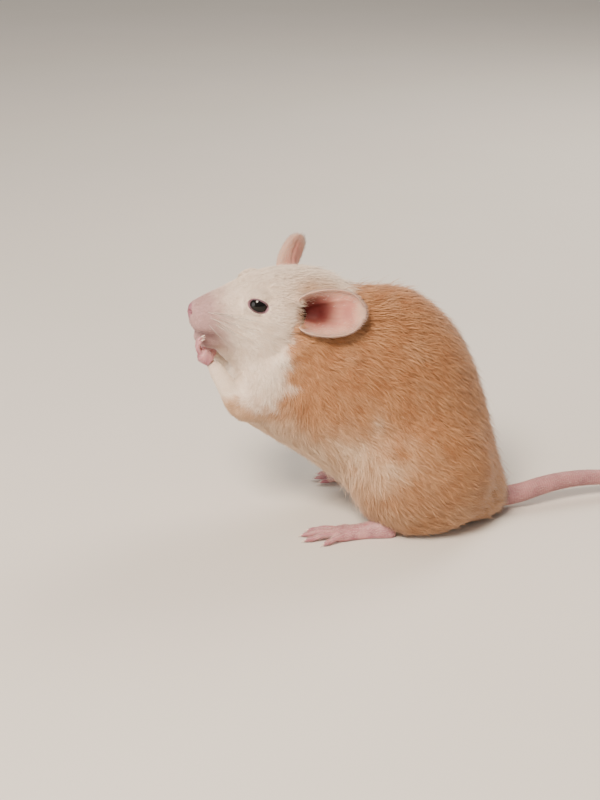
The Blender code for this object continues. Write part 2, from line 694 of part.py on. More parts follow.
def build():
    coat = material("coat", (0.76, 0.50, 0.31), 0.85)
    white_coat = material("white_coat", (0.85, 0.80, 0.74), 0.85)
    bare_skin = material("bare_skin", (0.80, 0.56, 0.53), 0.55)
    eye_black = material("eye", (0.01, 0.008, 0.008), 0.08)
    frame = head_frame()

    face = head(frame, white_coat)
    neck = body_part("neck", spine_place(HEAD_END) + GAP, spine_place(NECK_END), NECK_RINGS, coat)
    carve(neck, *jaw(frame, GAP))
    for side, aim in EAR_AIMS.items():
        out = Vector((1, side_sign(side), 1))
        root = frame @ (EAR_PLACE * out)
        ear("ear_" + side, side, root, *aim, bare_skin)
        for grown_from in (face, neck):
            carve(grown_from, ear("ear_hole", side, root, *aim, None, GAP))
        ball("eye_" + side, frame @ (EYE_PLACE * out), [EYE_DIAMETER / 2] * 3, frame, EYE_SIDES, eye_black)

    torso = body_part("torso", spine_place(NECK_END) + GAP, BODY_ALONG[-1], TORSO_RINGS, coat)
    for side, joints in (("left", LEFT_FORELEG), ("right", RIGHT_FORELEG)):
        foreleg("foreleg_" + side, joints, coat)
        for grown_from in (torso, neck, face):
            carve(grown_from, foreleg("arm_hole", joints, None, GAP))
        carve(torso, haunch("haunch_hole", side, None, GAP))
        thigh = haunch("haunch_" + side, side, coat)
        carve(thigh, sole("sole_hole", side, None, GAP))
        stand_flat(thigh)
        forepaw("forepaw_" + side, joints, side, bare_skin)
        hind_foot(side, bare_skin)
    carve(torso, tail_root_hole())
    stand_flat(torso)
    tail(bare_skin)
    return recentre()


clear_scene()
shift = build()
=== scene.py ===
"""Looks of a life-size pet mouse that sits up with both forepaws at its mouth.

One skin covers head, neck, trunk and legs, with the nose worked into it. Locks of short fur grow from it
along the lie of the coat, and ears, eyes, paws, feet, tail, claws and whiskers are fine pieces of their own.
"""

import itertools
import math

import bmesh
import bpy
import numpy as np
from mathutils import Matrix, Vector

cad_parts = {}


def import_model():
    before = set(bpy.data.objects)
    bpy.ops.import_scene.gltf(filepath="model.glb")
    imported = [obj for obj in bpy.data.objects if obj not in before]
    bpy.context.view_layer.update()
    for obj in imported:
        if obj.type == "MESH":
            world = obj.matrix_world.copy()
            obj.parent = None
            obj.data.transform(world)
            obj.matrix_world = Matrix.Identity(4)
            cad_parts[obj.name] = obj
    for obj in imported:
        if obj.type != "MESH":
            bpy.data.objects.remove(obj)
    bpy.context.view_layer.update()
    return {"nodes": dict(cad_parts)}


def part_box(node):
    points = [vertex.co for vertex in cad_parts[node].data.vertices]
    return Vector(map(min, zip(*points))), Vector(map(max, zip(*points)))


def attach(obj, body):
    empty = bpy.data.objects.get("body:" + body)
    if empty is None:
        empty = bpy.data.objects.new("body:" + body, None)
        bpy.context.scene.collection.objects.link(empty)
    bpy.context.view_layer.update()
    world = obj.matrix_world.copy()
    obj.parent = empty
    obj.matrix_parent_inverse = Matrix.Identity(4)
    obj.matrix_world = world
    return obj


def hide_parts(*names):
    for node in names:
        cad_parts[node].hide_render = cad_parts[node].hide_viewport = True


MM = 0.001
SEED = 4462

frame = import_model()

# The head's turn and the places on it, as back from the nose tip, to the mouse's right, and up, in mm.
HEAD_YAW, HEAD_PITCH, HEAD_ROLL = 10.5, 5.0, 8.0
NOSE_TIP = np.array([-43.4, -3.5, 46.0])
EYE_PLACE = np.array([13.3, 5.3, 4.0])
EYE_GAZE = np.array([-0.22, 1.0, 0.28])
EYE_RADIUS = 2.2
EAR_PLACE = np.array([23.2, 7.0, 3.0])

# The lids, in mm and degrees: half the length and height of their opening, its slant, how far they lie over
# the ball, and how far the bare skin round the opening reaches.
LID_OPENING = (2.0, 1.22)
LID_SLANT = 18.0
LID_LIFT, LID_BARE = 0.2, 0.12

# The ears, in mm and degrees: the same cup as the solids, in a thinner sheet. The outline is the breadth,
# as a share of its greatest, at shares of the length.
EAR_LENGTH, EAR_BREADTH, EAR_THICKNESS = 12.4, 11.2, 0.42
EAR_ROOT_CURL, EAR_TIP_CURL = 190.0, 50.0
EAR_SET_FORWARD, EAR_BEND_BACK = 1.2, 1.6
EAR_OUTLINE = ((0, 0.8), (0.2, 0.97), (0.42, 1), (0.63, 0.94), (0.82, 0.79), (0.93, 0.57), (1, 0.28))
EAR_AIMS = {
    "left": (np.array([0.89, -0.42, 0.17]), np.array([-0.35, -0.88, 0.32])),
    "right": (np.array([0.10, 0.85, 0.50]), np.array([-0.94, 0.25, 0.05])),
}

# The eyeball's rings and points in each, and the rim of the lids: steps round it, sides and radius in mm.
EYE_GRID = (40, 48)
LID_STEPS, LID_SIDES, LID_RIM = 72, 10, 0.17

# The hind feet, in mm and degrees: heels, the turn outwards, and each toe's place forward and outward, its
# turn and its length. The forepaws: elbow, wrist and knuckles, and each finger's place across and length.
FOOT_HEELS = {"left": np.array([-1.2, -13.0, 0.0]), "right": np.array([1.8, 13.0, 0.0])}
FOOT_TURN_OUT = 5.0
TOES = (
    (8.6, -1.5, -30, 3.9), (11.6, -1.55, -11, 6.6), (12.0, -0.45, -2, 7.5), (11.8, 0.75, 8, 7.3),
    (10.4, 1.75, 24, 5.4),
)
PAWS = {
    "left": np.array([(-32.4, -8.5, 26.1), (-38.6, -7.5, 35.9), (-41.1, -7.0, 38.1)]),
    "right": np.array([(-32.4, 7.0, 26.1), (-38.6, 3.4, 33.9), (-40.8, 2.6, 35.8)]),
}
FINGERS = ((-1.15, 2.4), (-0.4, 2.8), (0.4, 2.8), (1.15, 2.3))
CLAW_LENGTH, CLAW_RADIUS, CLAW_STEPS, CLAW_SIDES = 1.25, 0.2, 8, 8

# The grid of paws and feet in mm, and their hairs: how many, above which height, and which way they point.
BARE_PARTS = {
    "forepaw": (0.12, 160, 34.0, (-0.45, 0.0, 0.9)),
    "hind_foot": (0.16, 1400, 1.0, (-1.0, 0.0, -0.2)),
}
UP = np.array([0.0, 0.0, 1.0])

# The tail, in mm: length, radii, width of a ring of scales, from where it lies on the floor, its steps and
# sides, its hairs and where they begin, and its route, which starts inside the rump.
TAIL_LENGTH, TAIL_ROOT_RADIUS, TAIL_TIP_RADIUS, TAIL_RING = 84.0, 2.25, 0.6, 0.5
TAIL_ON_FLOOR = 58.0
TAIL_STEPS, TAIL_SIDES = 420, 24
TAIL_HAIRS, TAIL_HAIRS_FROM = 3400, 24
TAIL_ROUTE = (
    (19.0, 0.0, 2.6), (23.0, 0.2, 2.8), (26.6, 0.9, 3.3), (30.8, 2.3, 4.1), (35.3, 4.0, 4.5),
    (39.7, 5.4, 4.5), (44.2, 6.5, 4.2), (51.0, 7.7, 3.1), (58.0, 8.3, 1.9), (66.0, 8.0, 1.4),
    (74.0, 6.6, 1.2), (82.0, 4.2, 1.0), (90.0, 1.0, 0.8), (98.0, -2.6, 0.7), (106.0, -6.6, 0.6),
)

# The whiskers: rows and columns on a side, the radius at the root in mm, steps and sides.
WHISKER_ROWS, WHISKER_COLUMNS, WHISKER_RADIUS, WHISKER_STEPS, WHISKER_SIDES = 3, 5, 0.06, 14, 4

# The skin's grid in mm, and the overlap that closes the cuts between the solids.
SKIN_VOXEL = 0.54
JOIN_GROW = 0.25

# How far the skin, the locks and the bare pieces stay above the floor, in mm.
SKIN_OFF_FLOOR, LOCKS_OFF_FLOOR, BARE_OFF_FLOOR = 0.02, 0.04, 0.01

# The rounds of evening out over the body's creases and over the rump.
CREASE_ROUNDS, RUMP_ROUNDS = 54, 72

# Half the floor's side, in metres.
FLOOR_HALF = 2.5

# The camera, in mm and degrees: where it looks, from how far, and its lens.
CAMERA_TARGET = np.array([-20.83, 0.0, 24.9])
CAMERA_DISTANCE, CAMERA_ELEVATION, CAMERA_LENS = 320.0, 22.0, 69.12

FLESH = ("head", "neck", "torso", "foreleg_left", "foreleg_right", "haunch_left", "haunch_right")


def rotation(axis, degrees):
    return np.array(Matrix.Rotation(math.radians(degrees), 3, axis))


HEAD_TURN = rotation("Z", HEAD_YAW) @ rotation("Y", HEAD_PITCH) @ rotation("X", HEAD_ROLL)


def middle(node):
    low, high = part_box(node)
    return (np.array(low) + np.array(high)) / 2


# The frame's origin, in the mm that the places above are given in, is read from where the left eye is.
LEFT_EYE = NOSE_TIP + HEAD_TURN @ (EYE_PLACE * [1, -1, 1])
SHIFT = middle("eye_left") / MM - LEFT_EYE


def side_sign(side):
    """The mouse's right side is +Y, and its left side is -Y."""
    return -1 if side == "left" else 1


def world(points):
    """Places in mm to metres in the frame."""
    return (np.asarray(points) + SHIFT) * MM


def in_mm(points):
    """Points in metres in the frame to places in mm."""
    return np.asarray(points) / MM - SHIFT


def from_head(places):
    """Places on the head (back, right, up) to places in mm."""
    return NOSE_TIP + np.asarray(places) @ HEAD_TURN.T


def on_head(places):
    """Places in mm to places on the head (back, right, up)."""
    return (places - NOSE_TIP) @ HEAD_TURN


def one_side(places):
    """Places on either side taken to the right side."""
    return np.abs(places * [0, 1, 0]) + places * [1, 0, 1]


def unit(vectors):
    vectors = np.asarray(vectors, float)
    return vectors / np.maximum(np.linalg.norm(vectors, axis=-1, keepdims=True), 1e-12)


def square_to(ways, axes):
    """Unit directions of ways with their part along axes taken off."""
    return unit(ways - (ways * axes).sum(axis=-1, keepdims=True) * axes)


def turns(count):
    """Even angles round a circle, in radians."""
    return np.arange(count) * 2 * math.pi / count


def above_floor(places, gap):
    """Places in mm, none of them lower than a gap above the floor."""
    return np.maximum(places, [-np.inf, -np.inf, gap - SHIFT[2]])


def smooth_step(value, low, high):
    """0 below low, 1 above high, and an S-curve between."""
    t = np.clip((value - low) / (high - low), 0, 1)
    return t * t * (3 - 2 * t)


def bell(distance, width, power=2):
    """1 at no distance, falling off to 0 beyond a width, and the more squarely the higher the power."""
    return np.exp(-((distance / width) ** power))


def bump_at(places, centre, radii):
    """1 at a centre, falling off as a bell over its own radius along each axis."""
    offset = (places - np.asarray(centre)) / np.asarray(radii)
    return np.exp(-0.5 * (offset**2).sum(axis=-1))


def waves(places, size, seed):
    """Smooth uneven value of about -1 to 1: the mean of sine waves that run in seeded directions."""
    draw = np.random.default_rng(seed)
    total = np.zeros(len(places))
    for _ in range(9):
        way = unit(draw.normal(size=3)) * 2 * math.pi / (size * draw.uniform(0.7, 1.6))
        total += np.sin(places @ way + draw.uniform(0, 2 * math.pi))
    return total / 3.2


def through(knots, values, at):
    """Smooth curve through values at the knots: a cubic between each pair, sloped by the neighbours."""
    knots, values, at = np.asarray(knots, float), np.asarray(values, float), np.asarray(at, float)
    slopes = np.gradient(values, knots, axis=0)
    cell = np.clip(np.searchsorted(knots, at, side="right") - 1, 0, len(knots) - 2)
    width = (knots[cell + 1] - knots[cell])[:, None]
    t = (at - knots[cell])[:, None] / width
    return (
        (2 * t**3 - 3 * t**2 + 1) * values[cell]
        + (t**3 - 2 * t**2 + t) * width * slopes[cell]
        + (3 * t**2 - 2 * t**3) * values[cell + 1]
        + (t**3 - t**2) * width * slopes[cell + 1]
    )


def lengths_along(points):
    steps = np.linalg.norm(np.diff(points, axis=0), axis=-1)
    return np.concatenate([[0.0], np.cumsum(steps)])


# Materials

def linear(code):
    """Hex sRGB colour to linear RGBA."""
    values = [int(code[i : i + 2], 16) / 255 for i in (0, 2, 4)]
    return [v / 12.92 if v <= 0.04045 else ((v + 0.055) / 1.055) ** 2.4 for v in values] + [1.0]


def add(tree, kind, inputs, output=0, **settings):
    """Adds a shader node with its settings and returns one of its outputs. An input, by name or number,
    takes another node's output, a hex colour or a plain value."""
    made = tree.nodes.new("ShaderNode" + kind)
    for name, value in settings.items():
        setattr(made, name, value)
    for socket, value in inputs.items():
        if isinstance(value, bpy.types.NodeSocket):
            tree.links.new(value, made.inputs[socket])
        else:
            made.inputs[socket].default_value = linear(value) if isinstance(value, str) else value
    return made.outputs[output]


def surface(name, roughness, scatter_mm=None, **sockets):
    """New material with a Principled BSDF, its plain sockets given by name, and Object coordinates in mm.
    scatter_mm is how far red, green and blue light wander below the surface."""
    made = bpy.data.materials.new(name)
    made.use_nodes = True
    tree = made.node_tree
    shader = tree.nodes["Principled BSDF"]
    shader.inputs["Roughness"].default_value = roughness
    for socket, value in sockets.items():
        shader.inputs[socket.replace("_", " ")].default_value = value
    if scatter_mm:
        shader.inputs["Subsurface Radius"].default_value = [length * MM for length in scatter_mm]
        shader.inputs["Subsurface Scale"].default_value = 1.0
    place = add(tree, "TexCoord", {}, "Object")
    return made, tree, add(tree, "Mapping", {"Vector": place, "Scale": [1 / MM] * 3})


def painted(made, colour, height=None, depth=0.0, strength=1.0):
    """Links a material's colour and, where there is a height, its relief of a depth in mm."""
    tree = made.node_tree
    shader = tree.nodes["Principled BSDF"]
    tree.links.new(colour, shader.inputs["Base Color"])
    if height is not None:
        raised = add(tree, "Bump", {"Height": height, "Strength": strength, "Distance": depth * MM})
        tree.links.new(raised, shader.inputs["Normal"])
    return made


RGB = {"data_type": "RGBA"}


def marked(tree, share, golden, white, pale):
    """White and golden fur by the fawn mark, the golden fading to pale. Each is a pair of tones mixed by a
    share. Returns colour and bare mark."""
    marks = add(tree, "Attribute", {}, "Color", attribute_name="marks")
    fawn, cream, bare = [add(tree, "SeparateColor", {0: marks}, part) for part in range(3)]
    golden, white, pale = [
        add(tree, "Mix", {0: share, 6: dark, 7: light}, 2, **RGB) for dark, light in (golden, white, pale)
    ]
    golden = add(tree, "Mix", {0: cream, 6: golden, 7: pale}, 2, **RGB)
    return add(tree, "Mix", {0: fawn, 6: white, 7: golden}, 2, **RGB), bare


def short_fur():
    """Locks of short mouse fur. Fine hair is satin and catches light along its edges, each lock is painted
    darker towards its root as shade deep in the coat, and each lock has a tone of its own, so the coat looks
    soft and faintly streaked."""
    sockets = {"Sheen_Weight": 0.3, "Sheen_Roughness": 0.5, "Specular_IOR_Level": 0.2}
    made, tree, _ = surface("short_fur", 0.65, **sockets)
    strand = add(tree, "Attribute", {}, "Color", attribute_name="strand")
    along, shade = [add(tree, "SeparateColor", {0: strand}, part) for part in range(2)]
    colour, bare = marked(tree, shade, ("9C643C", "CF9C70"), ("E9D3BC", "FBEDDD"), ("CBA684", "ECD2B4"))
    colour = add(tree, "Mix", {0: bare, 6: colour, 7: "B0828B"}, 2, **RGB)
    # Painted shade: towards its root each lock's colour is multiplied darker, for the shadow deep in the
    # coat.
    painted_root_shade = add(tree, "Mix", {0: 1.0, 6: colour, 7: "C7A58A"}, 2, blend_type="MULTIPLY", **RGB)
    root = add(tree, "MapRange", {0: along, 1: 0.0, 2: 0.6, 3: 0.35, 4: 0.0})
    return painted(made, add(tree, "Mix", {0: root, 6: colour, 7: painted_root_shade}, 2, **RGB))


def underfur():
    """Dense underfur on the skin between the locks, in the same markings, matt and fine-grained like felt
    with a nap of 0.4 mm. Where the skin is bare it is thin, pink and blotched by the blood in it, and mauve
    at the lids. The ears' hollows are deep red, painted darker still as shade, and nostrils and the mouth's
    line are painted dark as shade."""
    made, tree, place = surface(
        "underfur", 0.8, (0.6, 0.3, 0.2), Subsurface_Weight=0.1, Specular_IOR_Level=0.2
    )
    nap = add(tree, "TexNoise", {"Vector": place, "Scale": 1 / 0.4, "Detail": 4.0})
    blotch = add(tree, "TexNoise", {"Vector": place, "Scale": 1 / 1.4, "Detail": 4.0})
    colour, bare = marked(tree, nap, ("925D38", "BD8759"), ("DDC8B2", "EFDFCC"), ("C19A77", "DDBE9C"))
    pink = add(tree, "Mix", {0: blotch, 6: "AF7C87", 7: "855764"}, 2, **RGB)
    colour = add(tree, "Mix", {0: bare, 6: colour, 7: pink}, 2, **RGB)
    # The tints: the near-black red of the ears' hollows, partly their redder skin and partly painted shade;
    # the lids' mauve; and painted shade in the nostrils and along the mouth's line.
    tints = add(tree, "Attribute", {}, "Color", attribute_name="tints")
    for part, tint in enumerate(("4E1817", "7E606C", "5E3038")):
        share = add(tree, "SeparateColor", {0: tints}, part)
        colour = add(tree, "Mix", {0: share, 6: colour, 7: tint}, 2, **RGB)
    return painted(made, colour, nap, 0.08, 0.6)


def bare_skin(name, pale, deep, wrinkle):
    """Thin bare skin, such as a paw's: pink, satin, lit from within, blotched by the blood below it, and
    finely wrinkled, with a wrinkle's width given in mm."""
    made, tree, place = surface(name, 0.5, (1.0, 0.4, 0.25), Subsurface_Weight=0.25, Specular_IOR_Level=0.4)
    blotch = add(tree, "TexNoise", {"Vector": place, "Scale": 1 / 2.4, "Detail": 3.0})
    blotch = add(tree, "MapRange", {0: blotch, 1: 0.35, 2: 0.65})
    colour = add(tree, "Mix", {0: blotch, 6: pale, 7: deep}, 2, **RGB)
    folds = add(tree, "TexNoise", {"Vector": place, "Scale": 1 / wrinkle, "Detail": 4.0})
    return painted(made, colour, folds, 0.04)


def ear_skin():
    """Skin of the ear, a sheet so thin that light comes through: pink, pale and golden at the rim, deep red
    in the hollow and painted darker there as shade, with a few soft veins that fan out from it."""
    made, tree, place = surface(
        "ear_skin", 0.62, (1.2, 0.45, 0.3), Subsurface_Weight=0.35, Specular_IOR_Level=0.18
    )
    tone = add(tree, "Attribute", {}, "Color", attribute_name="tone")
    deep, rim, vein = [add(tree, "SeparateColor", {0: tone}, part) for part in range(3)]
    blotch = add(tree, "TexNoise", {"Vector": place, "Scale": 1 / 3.0, "Detail": 3.0})
    blotch = add(tree, "MapRange", {0: blotch, 1: 0.35, 2: 0.65})
    colour = add(tree, "Mix", {0: blotch, 6: "C78F7E", 7: "B2766C"}, 2, **RGB)
    # The hollow's near-black red is partly its redder skin and partly painted shade.
    for share, tint in ((rim, "DCB79E"), (vein, "A4635C"), (deep, "4E1817")):
        colour = add(tree, "Mix", {0: share, 6: colour, 7: tint}, 2, **RGB)
    grain = add(tree, "TexNoise", {"Vector": place, "Scale": 1 / 0.5, "Detail": 3.0})
    return painted(made, colour, grain, 0.03)


def scaly_tail():
    """Skin of the tail, pink to mauve and ringed with small scales. Its UV map counts the rings along the
    tail, and a dark groove parts one ring from the next."""
    made, tree, place = surface(
        "scaly_tail", 0.55, (0.9, 0.4, 0.3), Subsurface_Weight=0.15, Specular_IOR_Level=0.35
    )
    counted = add(tree, "UVMap", {}, uv_map="UVMap")
    rings = add(tree, "SeparateXYZ", {0: counted}, 0)
    wander = add(tree, "TexNoise", {"Vector": place, "Scale": 1 / 0.8, "Detail": 2.0})
    uneven = add(tree, "Math", {0: wander, 1: 0.35, 2: rings}, operation="MULTIPLY_ADD")
    turn = add(tree, "Math", {0: uneven}, operation="FRACT")
    blotch = add(tree, "TexNoise", {"Vector": place, "Scale": 1 / 3.5, "Detail": 3.0})
    blotch = add(tree, "MapRange", {0: blotch, 1: 0.3, 2: 0.7})
    colour = add(tree, "Mix", {0: blotch, 6: "B88586", 7: "95686E"}, 2, **RGB)
    groove = add(tree, "MapRange", {0: turn, 1: 0.0, 2: 0.3, 3: 0.45, 4: 0.0})
    colour = add(tree, "Mix", {0: groove, 6: colour, 7: "744A4E"}, 2, **RGB)
    return painted(made, colour, add(tree, "MapRange", {0: turn, 1: 0.0, 2: 0.28}), 0.05)


def wet_eye():
    """Cornea over a black iris: mirror-wet, and black with a trace of brown."""
    made, tree, place = surface("wet_eye", 0.04, Specular_IOR_Level=0.5, IOR=1.38)
    depth = add(tree, "TexNoise", {"Vector": place, "Scale": 1 / 1.5, "Detail": 2.0})
    return painted(made, add(tree, "Mix", {0: depth, 6: "050404", 7: "0D0806"}, 2, **RGB))


def claw_horn():
    """Horn of the claws, pale and half clear, with a soft gloss."""
    sockets = {"Subsurface_Weight": 0.2, "Specular_IOR_Level": 0.5}
    made, tree, place = surface("claw_horn", 0.32, (0.4, 0.3, 0.2), **sockets)
    line = add(tree, "TexNoise", {"Vector": place, "Scale": 1 / 0.3, "Detail": 2.0})
    return painted(made, add(tree, "Mix", {0: line, 6: "E9D8CC", 7: "D2B7AA"}, 2, **RGB))


def whisker_hair():
    """Stiff, smooth whisker, pale grey with a slight shine."""
    made, tree, place = surface("whisker_hair", 0.35, Specular_IOR_Level=0.5)
    along = add(tree, "TexNoise", {"Vector": place, "Scale": 1 / 3.0, "Detail": 2.0})
    return painted(made, add(tree, "Mix", {0: along, 6: "DAD2C9", 7: "AFA193"}, 2, **RGB))


def matt_floor():
    """Matt pale studio floor."""
    made, tree, place = surface("matt_floor", 0.9)
    tone = add(tree, "TexNoise", {"Vector": place, "Scale": 1 / 60.0, "Detail": 2.0})
    return painted(made, add(tree, "Mix", {0: tone, 6: "D9D5CE", 7: "DEDAD4"}, 2, **RGB))


# Meshes

def placed(name, data):
    """New object in the scene for a mesh, lamp or camera."""
    obj = bpy.data.objects.new(name, data)
    bpy.context.scene.collection.objects.link(obj)
    return obj


def new_object(name, points, faces, material):
    """Mesh piece from arrays of points in metres and of faces, all triangles or all quads."""
    mesh = bpy.data.meshes.new(name)
    points = np.ascontiguousarray(points, np.float32)
    faces = np.ascontiguousarray(faces, np.int32)
    mesh.vertices.add(len(points))
    mesh.vertices.foreach_set("co", points.ravel())
    mesh.loops.add(faces.size)
    mesh.loops.foreach_set("vertex_index", faces.ravel())
    mesh.polygons.add(len(faces))
    mesh.polygons.foreach_set("loop_start", np.arange(0, faces.size, faces.shape[1], dtype=np.int32))
    mesh.polygons.foreach_set("use_smooth", np.ones(len(faces), bool))
    mesh.update()
    mesh.validate()
    obj = placed(name, mesh)
    finish(obj, material)
    return obj


def finish(obj, material):
    """Gives a piece its material and the body that it rides on."""
    obj.data.materials.clear()
    obj.data.materials.append(material)
    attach(obj, "root")


def point_colour(obj, name, values):
    """Stores three values for each point as a colour attribute."""
    values = np.column_stack([values, np.ones(len(values))]).astype(np.float32)
    made = obj.data.attributes.new(name, "FLOAT_COLOR", "POINT")
    made.data.foreach_set("color", values.ravel())


def corner_uv(obj, name, point_uv):
    """Stores a UV map from one UV place for each point."""
    made = obj.data.uv_layers.new(name=name)
    made.data.foreach_set("uv", point_uv[corners_of(obj.data)].astype(np.float32).ravel())


def values_of(source, name, width, kind=np.float32):
    """One value of each of a mesh's points, edges or corners, in rows of a width."""
    values = np.empty(len(source) * width, kind)
    source.foreach_get(name, values)
    return values.reshape(-1, width)


def points_of(mesh):
    return values_of(mesh.vertices, "co", 3).astype(float)


def normals_of(mesh):
    return values_of(mesh.vertices, "normal", 3).astype(float)


def places_of(obj):
    """A piece's points as places in mm."""
    return in_mm(points_of(obj.data))


def corners_of(mesh):
    """The point of every corner of every face."""
    return values_of(mesh.loops, "vertex_index", 1, np.int32)[:, 0]


def grid_faces(rows, columns, rows_close=False, columns_close=False):
    """Quads of a grid of points, whose rows and columns may close on themselves."""
    last_row, last_column = rows - (not rows_close), columns - (not columns_close)
    row, column = np.meshgrid(np.arange(last_row), np.arange(last_column), indexing="ij")
    here, below = row * columns, (row + 1) % rows * columns
    after = (column + 1) % columns
    return np.stack([here + column, here + after, below + after, below + column], axis=-1).reshape(-1, 4)


def capped_faces(rows, columns):
    """Triangles of a tube's rings of points and of the fans to one point before the rings and one after."""
    quads = grid_faces(rows, columns, columns_close=True)
    here = np.arange(columns)
    after = (here + 1) % columns
    first = np.full(columns, rows * columns)
    end = (rows - 1) * columns
    caps = [np.column_stack([first, after, here]), np.column_stack([first + 1, end + here, end + after])]
    return np.concatenate([quads[:, [0, 1, 2]], quads[:, [0, 2, 3]], *caps])


def tubes(paths, radii, sides):
    """Closed tubes along many paths at once: on each, a ring of points about the path at each step and one
    point at each end. paths is (tubes, steps, 3), radii is (tubes, steps). Returns points and triangles."""
    count, steps = radii.shape
    ahead = unit(np.gradient(paths, axis=1))
    least = np.eye(3)[np.argmin(np.abs(ahead.mean(axis=1)), axis=-1)][:, None]
    side = unit(np.cross(ahead, least))
    up = np.cross(side, ahead)
    angle = turns(sides)[:, None]
    ring = side[:, :, None] * np.cos(angle) + up[:, :, None] * np.sin(angle)
    rings = paths[:, :, None] + ring * radii[:, :, None, None]
    points = np.concatenate([rings.reshape(count, -1, 3), paths[:, :1], paths[:, -1:]], axis=1)
    every = capped_faces(steps, sides)[None, :, ::-1] + (np.arange(count) * points.shape[1])[:, None, None]
    return points.reshape(-1, 3), every.reshape(-1, 3)


def reworked(mesh, change):
    """Makes a change to a mesh by way of a bmesh."""
    work = bmesh.new()
    work.from_mesh(mesh)
    change(work)
    work.to_mesh(mesh)
    work.free()


def outward(obj):
    """Turns a closed piece's faces to the outside."""
    reworked(obj.data, lambda work: bmesh.ops.recalc_face_normals(work, faces=work.faces))


def move_points(mesh, points):
    """Moves a mesh's points to places in metres."""
    mesh.vertices.foreach_set("co", points.astype(np.float32).ravel())
    mesh.update()


# Skin

def merged_copy(names, grow):
    """Closed copies of CAD nodes in one object, each moved out along its normals by a length in mm."""
    work = bmesh.new()
    for name in names:
        piece = bmesh.new()
        piece.from_mesh(frame["nodes"][name].data)
        bmesh.ops.remove_doubles(piece, verts=piece.verts, dist=1e-6)
        mesh = bpy.data.meshes.new("grown")
        piece.to_mesh(mesh)
        piece.free()
        move_points(mesh, points_of(mesh) + normals_of(mesh) * grow * MM)
        work.from_mesh(mesh)
        bpy.data.meshes.remove(mesh)
    mesh = bpy.data.meshes.new("merged")
    work.to_mesh(mesh)
    work.free()
    return placed("merged", mesh)


def remeshed(name, names, grow, voxel, smoothing):
    """One closed surface round CAD nodes, on an even grid, smoothed and shrunk by what they were grown."""
    obj = merged_copy(names, grow)
    even = obj.modifiers.new("Even", "REMESH")
    even.mode = "VOXEL"
    even.voxel_size = voxel * MM
    soft = obj.modifiers.new("Soft", "SMOOTH")
    soft.factor = 0.5
    soft.iterations = smoothing
    graph = bpy.context.evaluated_depsgraph_get()
    mesh = bpy.data.meshes.new_from_object(obj.evaluated_get(graph))
    old = obj.data
    obj.modifiers.clear()
    obj.data = mesh
    bpy.data.meshes.remove(old)
    obj.name = mesh.name = name
    move_points(mesh, points_of(mesh) - normals_of(mesh) * grow * MM)
    mesh.shade_smooth()
    return obj


def refine(obj, chosen):
    """Halves the edges whose ends chosen picks, so that fine folds have points to follow."""
    split = chosen(places_of(obj))[values_of(obj.data.edges, "vertices", 2, np.int32)].all(axis=1)

    def halve(work):
        edges = list(itertools.compress(work.edges, split))
        bmesh.ops.subdivide_edges(work, edges=edges, cuts=1, use_grid_fill=True)
        bmesh.ops.triangulate(work, faces=[f for f in work.faces if len(f.verts) > 4])

    reworked(obj.data, halve)


def eye_axes(side):
    """Centre of an eye in mm, and the directions of its gaze, its long corner line and its upper lid."""
    sign = side_sign(side)
    centre = from_head(EYE_PLACE * [1, sign, 1])
    gaze = unit(HEAD_TURN @ (EYE_GAZE * [1, sign, 1]))
    slant = math.radians(LID_SLANT)
    corner = square_to(HEAD_TURN @ np.array([math.cos(slant), 0, -math.sin(slant)]), gaze)
    lid_up = unit(np.cross(gaze, corner) * -sign)
    return centre, gaze, corner, lid_up


def lid_oval(places, side, spare=0.0):
    """How far out places are on the oval of an eye's opening, which is 1 on its edge and may be wider by a
    spare length, and how far ahead of the eye's centre they are along its gaze."""
    centre, gaze, corner, lid_up = eye_axes(side)
    offset = places - centre
    wide, high = np.array(LID_OPENING) + spare
    return np.hypot(offset @ corner / wide, offset @ lid_up / high), offset @ gaze


def eye_reach(places):
    """Distance of each place from the middle of each eye."""
    return np.array([np.linalg.norm(places - eye_axes(side)[0], axis=1) for side in EAR_AIMS])


def forearm_share(places):
    """1 on the forearms, whose fur is thin, falling to 0 round them."""
    share = np.zeros(len(places))
    for elbow, wrist, _ in PAWS.values():
        share += bell(distance_to(places, [0.45 * elbow + 0.55 * wrist, wrist]), 4.0, 4)
    return np.clip(share, 0, 1)


def coat_depth(places):
    """How far the skin lies below the solids in mm: about the height that the tallest locks stand to."""
    length, _, lift = fur_size(places)
    return 0.05 + 0.7 * length * lift


def soften(obj, share, rounds):
    """Evens a surface out: each round takes every point its share of the way to its neighbours' mean."""
    places = places_of(obj)
    ends = values_of(obj.data.edges, "vertices", 2, np.int32)
    first, second = np.concatenate([ends, ends[:, ::-1]]).T
    count = np.bincount(first, minlength=len(places))[:, None]
    moved = share(places)[:, None]
    for _ in range(rounds):
        total = [np.bincount(first, column, len(places)) for column in places[second].T]
        places = places + moved * (np.column_stack(total) / count - places)
    move_points(obj.data, world(places))


# Lines on one side of the face, as places on the head in mm.
MOUTH_LINE = ((1.2, 0.0, -3.5), (2.3, 1.7, -3.9), (4.1, 2.9, -4.1), (6.0, 3.7, -4.3))
NOSTRIL_LINE = ((0.05, 0.75, 0.05), (0.5, 1.25, 0.1), (1.0, 1.5, -0.35))
PHILTRUM_LINE = ((0.0, 0.0, -0.5), (0.3, 0.0, -1.9), (1.2, 0.0, -3.5))


def distance_to(places, line):
    """Distance of each place from a line of points."""
    line = np.asarray(line, float)
    best = np.full(len(places), 1e9)
    for start, end in zip(line[:-1], line[1:]):
        run = end - start
        share = np.clip(((places - start) @ run) / (run @ run), 0, 1)
        best = np.minimum(best, np.linalg.norm(places - start - share[:, None] * run, axis=1))
    return best


def ear_axes(side):
    """Root of an ear in mm, and the directions of its length, of its opening and across it."""
    long_axis = unit(EAR_AIMS[side][0])
    opening = square_to(EAR_AIMS[side][1], long_axis)
    root = from_head(EAR_PLACE * [1, side_sign(side), 1])
    return root, long_axis, opening, np.cross(opening, long_axis) * side_sign(side)


